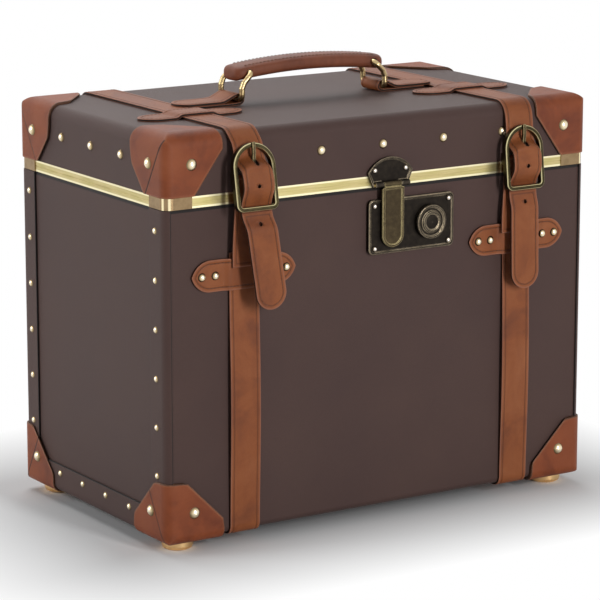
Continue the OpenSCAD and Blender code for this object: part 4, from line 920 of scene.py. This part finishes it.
def cupped(b, points):
    """Lets the middle of a strap rise through its buckle sooner than its edges."""
    out = FRONT_Y - points[:, 1] - b.arch_out
    below = b.top - points[:, 2]
    sin, cos = math.sin(b.lean), math.cos(b.lean)
    down = out * sin + below * cos
    drift = b.at_arch + (b.at_foot - b.at_arch) * np.clip(down / FRAME_RUN, 0, 1)
    middle = 1 - np.clip((points[:, 0] - b.x - drift) / (STRAP_W / 2), -1, 1) ** 2

    def rise(a):
        return (1 - np.cos(math.pi * np.clip((a - STRAP_CROSS) / STRAP_RISE, 0, 1))) / 2

    gain = (STRAP_BULGE + STRAP_IN_FRAME) * (rise(down + CUP * middle) - rise(down))
    gain = np.where((down > 0) & (down < BAR_DOWN) & (out > -5), gain, 0)
    return points + np.stack([0 * gain, -cos * gain, sin * gain], 1)


def cut_strap_holes(strap, b):
    """The hole that the prong goes through, and the free one under it."""
    _, prong_z = b.held(0, STRAP_CROSS + 0.7)
    _, free_z = b.held(0, BAR_DOWN + 6)
    middle = b.x + (b.at_arch + b.at_foot) / 2
    cut_hole(strap, (b.x + b.shift, FRONT_Y - 8, prong_z), PRONG_HOLE_R, stretch=1.6)
    cut_hole(strap, (middle, FRONT_Y - 10, free_z), STRAP_HOLE_R)


def make_front_strap(b):
    """Strap from the rim at the back over the lid and down through the buckle."""
    turn, run = down_front(b)
    ribbon = Ribbon(over_lid(b.x) + run, X_AXIS)
    strap = leather_strip(f"buckled_strap_{b.name}", ribbon, strap_half)
    places = cupped(b, places_mm(strap.data)) * MM
    strap.data.vertices.foreach_set("co", places.ravel())
    strap.data.update()
    cut_strap_holes(strap, b)
    runs = edge_runs(ribbon, strap_half, 4, ribbon.length)
    add_stitches(strap, [(cupped(b, points), normals) for points, normals in runs])
    y, z = FRONT_Y - turn[0], turn[1]
    start, end = ((b.x, y + reach, z + reach) for reach in (FLAP_BEND, -FLAP_BEND))
    finish_piece(strap, "lid", f"lid_strap_{b.name}", f"front_strap_{b.name}",
                 blend=(f"flap_{b.name}", start, end))


def make_tail(b):
    """Free end of a strap, which hangs from the foot of its buckle."""
    inside = -STRAP_IN_FRAME
    out, z = b.held(inside, TAIL_DOWN)
    run = b.all_held([(inside, TAIL_DOWN - STRAP_T / 2 - 0.2), (inside, TAIL_DOWN + 1)])
    run += ease(b.held(inside, TAIL_DOWN + 2), (b.tail_out - 0.5, z - TAIL_BEND), 10)
    run += ease((b.tail_out - 0.5, z - TAIL_BEND - 5), (b.tail_out, z - b.tail - 1), 8)
    tip = z - b.tail
    places = [(b.x + b.at_foot, z - 1), (b.x + b.drift, tip + STRAP_W / 2)]
    ribbon = Ribbon(in_front(run, places), X_AXIS)
    end = ribbon.length - 1
    half = round_end(STRAP_W / 2, end)
    tail = leather_strip(f"strap_tail_{b.name}", ribbon, half, end=end)
    hole = (b.x + b.at_foot + 1, FRONT_Y - 14, z - 7.5)
    cut_hole(tail, hole, STRAP_HOLE_R, depth=30)
    add_stitches(tail, edge_runs(ribbon, half, 1, end))
    y = FRONT_Y - out
    finish_piece(tail, f"flap_{b.name}", f"tail_{b.name}",
                 blend=(f"tail_{b.name}", (b.x, y, z + 2), (b.x, y, z - 3)))


def make_chape(b):
    """Leather that loops round the buckle's bar and goes down to the keeper."""
    bar = b.held(-BAR_IN, BAR_DOWN)
    r = BAR_R + CHAPE_T / 2
    low = KEEPER_Z + KEEPER_W / 2 + 2
    run = arc(bar, r, -20, 180, 12)
    run += ease((bar[0] - r, bar[1] - 4), (CHAPE_OVER_KEEPER, low), 10)
    run += [(CHAPE_OVER_KEEPER, KEEPER_Z + KEEPER_W / 4 - 1)]
    places = [(b.x + b.chape_at_bar, bar[1] - 6), (b.x + b.chape_at_keeper, KEEPER_Z + 20)]
    ribbon = Ribbon(in_front(run, places), X_AXIS, step=1.0)
    chape = leather_strip(f"buckle_chape_{b.name}", ribbon, lambda s: CHAPE_HALF,
                          thickness=CHAPE_T, crease=0.18)
    slot = (b.x + b.shift, FRONT_Y - bar[0], bar[1] + 2)
    cut_hole(chape, slot, PRONG_HOLE_R, depth=14, stretch=17)
    finish_piece(chape, f"flap_{b.name}", f"chape_{b.name}")


BODY_STRAP_BOW = 1.8


def make_body_strap(b):
    """Strap from under the keeper down the front and under the case to the rim at the back."""
    up = STRAP_T / 2 + 0.02
    r = BOTTOM_R + up
    head = KEEPER_Z + KEEPER_W / 2 + 4
    low, high = Z_BASE + 8, KEEPER_Z - KEEPER_W / 2
    run = [(FRONT_Y - up, head)]
    for k in np.linspace(0, 1, 25):
        bow = BODY_STRAP_BOW * math.sin(math.pi * k) ** 1.5
        run.append((FRONT_Y - up - bow, high + (low - high) * k))
    run += arc((FRONT_Y + BOTTOM_R, Z_BASE + BOTTOM_R), r, 180, 270, 10)
    run += arc((REAR_Y - BOTTOM_R, Z_BASE + BOTTOM_R), r, 270, 360, 10)
    run += [(REAR_Y + up, Z_SPLIT - 3)]
    ribbon = Ribbon([(b.x, y, z) for y, z in run], X_AXIS)
    strap = leather_strip(f"body_strap_{b.name}_leather", ribbon, strap_half)
    finish_piece(strap, "base", f"body_strap_{b.name}")


def keeper_half(length):
    """Half width of a tab with a pointed arch at each end."""
    r = (KEEPER_TIP ** 2 + KEEPER_W ** 2 / 4) / KEEPER_W

    def half(s):
        back = max(0.0, KEEPER_TIP - min(s, length - s))
        return max(0.0, math.sqrt(max(r * r - back * back, 0)) - r + KEEPER_W / 2)
    return half


def make_keeper(name, node, body, centre, along, out):
    """A pointed tab that humps over a strap."""
    rise = STRAP_T + 0.1
    flat = STRAP_W / 2 + 0.6
    t = STRAP_T / 2
    path = [(-KEEPER_L / 2, t), (-flat - 4, t), (-flat, t + rise)]
    path += [(-a, b) for a, b in reversed(path)]
    centre, along, out = (np.array(v, float) for v in (centre, along, out))
    ribbon = Ribbon([centre + along * a + out * b for a, b in path], np.cross(out, along), step=1.0)
    half = keeper_half(ribbon.length)
    tab = leather_strip(name, ribbon, half, thickness=STRAP_T - 0.1)
    add_stitches(tab, edge_runs(ribbon, half, 0, ribbon.length))
    finish_piece(tab, body, node)


def make_keepers(b):
    make_keeper(f"front_keeper_{b.name}", f"keeper_{b.name}", "base",
                (b.x, FRONT_Y, KEEPER_Z), X_AXIS, (0, -1, 0))
    make_keeper(f"lid_keeper_{b.name}", f"top_keeper_{b.name}", "lid",
                (b.x, LID_KEEPER_Y, Z_TOP), X_AXIS, (0, 0, 1))


def make_handle_chape(b):
    """Leather looped round a ring's lower bar, both ends laid out over the lid."""
    ring_z = Z_TOP + RING_ROD / 2 + FIT + STRAP_T + FIT
    r = RING_ROD / 2 + FIT + STRAP_T / 2
    low = Z_TOP + STRAP_T / 2 + SEAT
    high = Z_TOP + 1.5 * STRAP_T + 3 * SEAT
    under = STRAP_X - STRAP_W / 2 - 5 - RING_X
    run = [(-under, low), (-8, low)]
    run += arc((0, ring_z), r, -90, 90, 16)
    run += [(-3, ring_z + r), (-13, high + 0.5), (-18, high), (-52, high)]
    points = [(b.side * (RING_X - a), CASE_Y, z) for a, z in run]
    ribbon = Ribbon(points, (0, b.side, 0), step=1.0)
    half = round_end(12, ribbon.length)
    loop = leather_strip(f"ring_loop_{b.name}", ribbon, half)
    add_stitches(loop, edge_runs(ribbon, half, ribbon.length - 40, ribbon.length))
    finish_piece(loop, "lid", f"handle_chape_{b.name}")


# Moulded pieces


def soften(node, name, voxel, rounds, material, attributes):
    """A rounded leather copy of a CAD solid: remeshed finely, then its edges are worn down."""
    piece = add_object(name, NODES[node].data.copy())
    remesh = piece.modifiers.new("remesh", "REMESH")
    remesh.mode = "VOXEL"
    remesh.voxel_size = voxel * MM
    smooth = piece.modifiers.new("smooth", "SMOOTH")
    smooth.factor = 0.5
    smooth.iterations = rounds
    bake_modifiers(piece)
    mesh = piece.data
    paint(mesh, material)
    mesh.polygons.foreach_set("use_smooth", [True] * len(mesh.polygons))
    for attribute, measure in attributes.items():
        set_attribute(mesh, attribute, measure(places_mm(mesh)))
    return piece


def from_corner(p):
    """Distances in from the end, in from the front or back, of points of the case."""
    return CASE_W / 2 - np.abs(p[:, 0]), CASE_D / 2 - np.abs(p[:, 1] - CASE_Y)


PATCH_R = 42
LID_PATCH_R = 50
LID_PATCH_SLOPE = np.array([1, 0.85, -0.73])
LID_PATCH_FOOT = 22 / np.linalg.norm(LID_PATCH_SLOPE)
FOLD_FAR = 10.0


def fold_distance(p, foot, angle):
    """Distance of points on an end face from the line of a fold, FOLD_FAR for all the others."""
    in_x, in_y = from_corner(p)
    turn = math.radians(angle)
    across = (in_y - foot[0]) * math.cos(turn) - (p[:, 2] - foot[1]) * math.sin(turn)
    return np.where(in_x < 0.5, np.abs(across), FOLD_FAR)


def corner_ball(p, radius, inset, height):
    """Distance in from the ball that ends the leather of a corner."""
    in_x, in_y = from_corner(p)
    return radius - np.sqrt((in_x - inset) ** 2 + (in_y - inset) ** 2 + (p[:, 2] - height) ** 2)


def bottom_rim(p):
    """Distance from the edge of a bottom corner's leather."""
    in_x, in_y = from_corner(p)
    slant = PATCH_R * 0.78 - (in_x + in_y + p[:, 2] - Z_BASE) / math.sqrt(3)
    ball = corner_ball(p, PATCH_R, inset=6, height=Z_BASE + 4)
    return np.maximum(np.minimum(ball, slant), 0)


def top_rim(p):
    """Distance from the edge of a lid corner's leather."""
    in_x, in_y = from_corner(p)
    up = p[:, 2] - VALANCE_TOP
    slant = np.stack([in_x, in_y, up], 1) @ LID_PATCH_SLOPE / np.linalg.norm(LID_PATCH_SLOPE)
    ball = corner_ball(p, LID_PATCH_R, inset=-2, height=Z_TOP - LID_TOP_R)
    return np.maximum(np.minimum(np.minimum(ball, LID_PATCH_FOOT - slant), up + 0.6), 0)


def binding_rim(p):
    """Distance from the inner and the turned edges of an end binding."""
    in_x, in_y = from_corner(p)
    frame = np.maximum(BINDING_W - in_y, BINDING_W - (p[:, 2] - Z_BASE))
    return np.maximum(np.minimum(frame, BINDING_WRAP - in_x), 0)


def make_corners():
    """Leather corners of the base and of the lid, each with a fold on its end face, drawn as a line
    of painted shade.
    """
    for part, body, rim, foot, angle in (("bottom", "base", bottom_rim, (2, Z_BASE - 1), 29),
                                         ("top", "lid", top_rim, (2, Z_TOP - 4), -30)):
        seams = {"rim": rim, "seam": lambda p: fold_distance(p, foot, angle)}
        corners = soften(f"{part}_corners", f"{part}_corner_leather", 0.5, 3, "tan_patch", seams)
        finish_piece(corners, body, f"{part}_corners")


def make_bindings():
    """Raised bindings round both ends."""
    for side in ("left", "right"):
        node = f"end_binding_{side}"
        band = soften(node, f"end_band_{side}", 0.6, 2, "cover_band", {"rim": binding_rim})
        finish_piece(band, "base", node, slot="cover")


GRIP_HALF = 69
GRIP_W = 24.8
GRIP_T = 11.5
GRIP_RISE = 3.3
GRIP_EYE = 57
GRIP_BORE = 2.5
GRIP_END = 10
GRIP_SIDES = 48
EYE_SLACK = 1.4
GRIP_BEND_R = (GRIP_EYE ** 2 + GRIP_RISE ** 2) / (2 * GRIP_RISE)
GRIP_CENTRE_Z = node_box("handle_grip")[1].z - GRIP_T / 2 - GRIP_BEND_R


def grip_half_size(x):
    """Half width and half height of the grip, both smaller in its rounded ends."""
    from_end = GRIP_HALF - abs(x)
    halves = []
    for half, r in ((GRIP_W / 2, 8), (GRIP_T / 2, 4.2)):
        back = max(0.0, r - from_end)
        halves.append(half - r + math.sqrt(max(r * r - back * back, 0)))
    return halves


def grip_section(x):
    """Points of the grip's soft square section at a place along it."""
    width, height = grip_half_size(x)
    middle = GRIP_CENTRE_Z + math.sqrt(GRIP_BEND_R ** 2 - x * x)
    points = []
    for k in range(GRIP_SIDES):
        angle = 2 * math.pi * k / GRIP_SIDES
        c, s = math.cos(angle), math.sin(angle)
        points.append((x, CASE_Y + width * math.copysign(abs(c) ** 0.62, c),
                       middle + height * math.copysign(abs(s) ** 0.7, s)))
    return points


def grip_stitches():
    """Runs of stitches along both edges of the grip's top."""
    x = np.linspace(-GRIP_HALF + 9, GRIP_HALF - 9, 160)
    z = GRIP_CENTRE_Z + np.sqrt(GRIP_BEND_R ** 2 - x ** 2) + GRIP_T / 2 * 0.93
    y = np.full_like(x, GRIP_W / 2 - 4)
    normal = np.stack([x / GRIP_BEND_R, np.zeros_like(x), np.ones_like(x)], 1)
    return [(np.stack([x, CASE_Y + side * y, z], 1), normal) for side in (-1, 1)]


def make_grip():
    """The handle: leather stitched over a stiff core, with an eye for a ring near each end."""
    near_end = (1 - np.cos(np.linspace(0, math.pi / 2, 12))) * GRIP_END
    along = np.linspace(-58, 58, 60)
    stations = np.r_[near_end - GRIP_HALF, along, GRIP_HALF - near_end[::-1]]
    points = [point for x in stations for point in grip_section(x)]
    faces = tube_faces(0, len(stations), GRIP_SIDES)
    grip = new_piece("grip_leather", points, faces, ["grip", "thread"])
    merge_close(grip)
    eye_z = node_box("ring_left")[1].z - RING_ROD / 2
    for x in (-GRIP_EYE, GRIP_EYE, GRIP_EYE + EYE_SLACK):
        cut_hole(grip, (x, CASE_Y, eye_z), GRIP_BORE)
    add_stitches(grip, grip_stitches(), pitch=3.4, length=2.4)
    finish_piece(grip, "grip", "handle_grip")


def make_pulls():
    """Leather pulls of the tray."""
    pulls = soften("tray_pulls", "tray_pull_leather", 0.5, 3, "tan_plain", {})
    finish_piece(pulls, "tray", "tray_pulls")


# Hardware and board


def dress_nodes():
    """Gives the CAD nodes that stay in sight their materials."""
    dress("cover", "lid_shell")
    dress("cover_base", "base_shell")
    dress("brass", "hinge_base_leaves", "hinge_base_rivets", "hinge_pins", "hinge_lid_leaves",
          "hinge_lid_rivets", "hasp_pin", "lock_bolt", "ring_left", "ring_right")
    dress("stud_brass", "binding_studs", "bottom_corner_studs", "keeper_studs", "lid_studs",
          "top_corner_studs")
    dress("screw_brass", "lock_rivets", "hasp_rivets")
    dress("foot_brass_painted_light", "feet")
    dress("strip_brass", "valance_front", "valance_rear", "valance_ends")
    dress("clip_brass", "valance_corners")
    dress("antique", "lock_plate", "hasp_plate", "lock_button")
    dress("antique_light", "hasp", "prong_left", "prong_right")
    dress("frame_brass", "buckle_left", "buckle_right")
    dress("cloth", "base_lining", "lid_lining")
    dress("lip", "base_lip")
    dress("board", "tray")
    dress("wood", "tray_ledges", "mirror_frame")
    dress("mirror", "mirror_glass")


# Studio


CAMERA_AT = Vector((-1264.1, CASE_Y - 1968.95, 667.0)) * MM
CAMERA_TO = Vector((-3.4, CASE_Y, 152.1)) * MM
CAMERA_LENS = 181.1
CAMERA_SENSOR = 36
WORLD_FILL = 0.06

# The floor, in metres. It fades to white outside a box round the case
FLOOR_HALF = 12
FLOOR_DROP = 0.0002
SHADE_CENTRE = (-0.025, 0.027, 0)
SHADE_HALF = (0.19, 0.111, 1)
FADE_WIDTH = 0.15


def aim(thing, place, target):
    """Places a lamp or camera and turns it to a target."""
    thing.location = place
    thing.rotation_euler = (Vector(target) - Vector(place)).to_track_quat("-Z", "Y").to_euler()


def make_camera():
    data = bpy.data.cameras.new("camera")
    data.lens = CAMERA_LENS
    data.sensor_width = CAMERA_SENSOR
    data.clip_start, data.clip_end = 0.05, 60
    camera = add_object("camera", data)
    aim(camera, CAMERA_AT, CAMERA_TO)
    bpy.context.scene.camera = camera


def add_area(name, place, target, size, power):
    data = bpy.data.lights.new(name, "AREA")
    data.shape = "RECTANGLE"
    data.size, data.size_y = size
    data.energy = power
    aim(add_object(name, data), place, target)


def make_lights():
    """A tall narrow key in front, a soft light above and behind, and one on the left end."""
    add_area("front_key", (0.22, -2.3, 0.62), (0, 0, 0.15), size=(0.3, 1.2), power=30.5)
    add_area("top_soft", (0.0, 0.8, 1.5), (0, 0, 0.2), size=(1.4, 1.0), power=13.5)
    add_area("end_light", (-1.7, 0.75, 0.75), (-0.15, 0, 0.15), size=(0.9, 0.9), power=15.5)


def empty_tree(owner):
    """The cleared node tree of a world or material."""
    owner.use_nodes = True
    owner.node_tree.nodes.clear()
    return Nodes(owner.node_tree)


def make_world():
    """A plain fill light, white where it is seen."""
    world = bpy.data.worlds.new("studio")
    bpy.context.scene.world = world
    nodes = empty_tree(world)
    fill, white = (nodes.node("Background", {"Color": (1, 1, 1, 1), "Strength": strength})
                   for strength in (WORLD_FILL, 1.0))
    nodes.finish("ShaderNodeOutputWorld", nodes.seen(), fill, white)


def floor_paper():
    """Pale paper that fades to white away from the case, where it is seen."""
    material = bpy.data.materials.new("floor_paper")
    nodes = empty_tree(material)
    paper = nodes.node("BsdfDiffuse", {"Color": srgb(226, 227, 228)})
    white = nodes.node("Emission", {"Strength": 1.0})
    away = nodes.node("TexCoord", {}, "Object")
    for operation, value in (("SUBTRACT", SHADE_CENTRE), ("ABSOLUTE", None),
                             ("SUBTRACT", SHADE_HALF), ("MAXIMUM", (0, 0, 0))):
        away = nodes.node("VectorMath", {0: away, 1: value}, "Vector", operation=operation)
    distance = nodes.node("VectorMath", {0: away}, "Value", operation="LENGTH")
    fade = nodes.node("MapRange", {"Value": distance, "From Max": FADE_WIDTH}, "Result")
    fade = nodes.math("MULTIPLY", fade, nodes.seen())
    nodes.finish("ShaderNodeOutputMaterial", fade, paper, white)
    return material


def make_floor():
    """A pale floor that keeps the case's shadow."""
    mesh = bpy.data.meshes.new("studio_floor")
    corners = [(x * FLOOR_HALF, y * FLOOR_HALF, 0) for x, y in ((-1, -1), (1, -1), (1, 1), (-1, 1))]
    mesh.from_pydata(corners, [], [(0, 1, 2, 3)])
    mesh.materials.append(floor_paper())
    floor = add_object("studio_floor", mesh)
    floor.location = (0, 0, -FLOOR_DROP)


# Build


def build():
    make_camera()
    dress_nodes()
    for strap in SIDES:
        make_front_strap(strap)
        make_tail(strap)
        make_chape(strap)
        make_body_strap(strap)
        make_keepers(strap)
        make_handle_chape(strap)
    make_corners()
    make_bindings()
    make_grip()
    make_pulls()
    make_floor()
    make_world()
    make_lights()


bpy.context.scene.view_settings.view_transform = "Standard"
build()
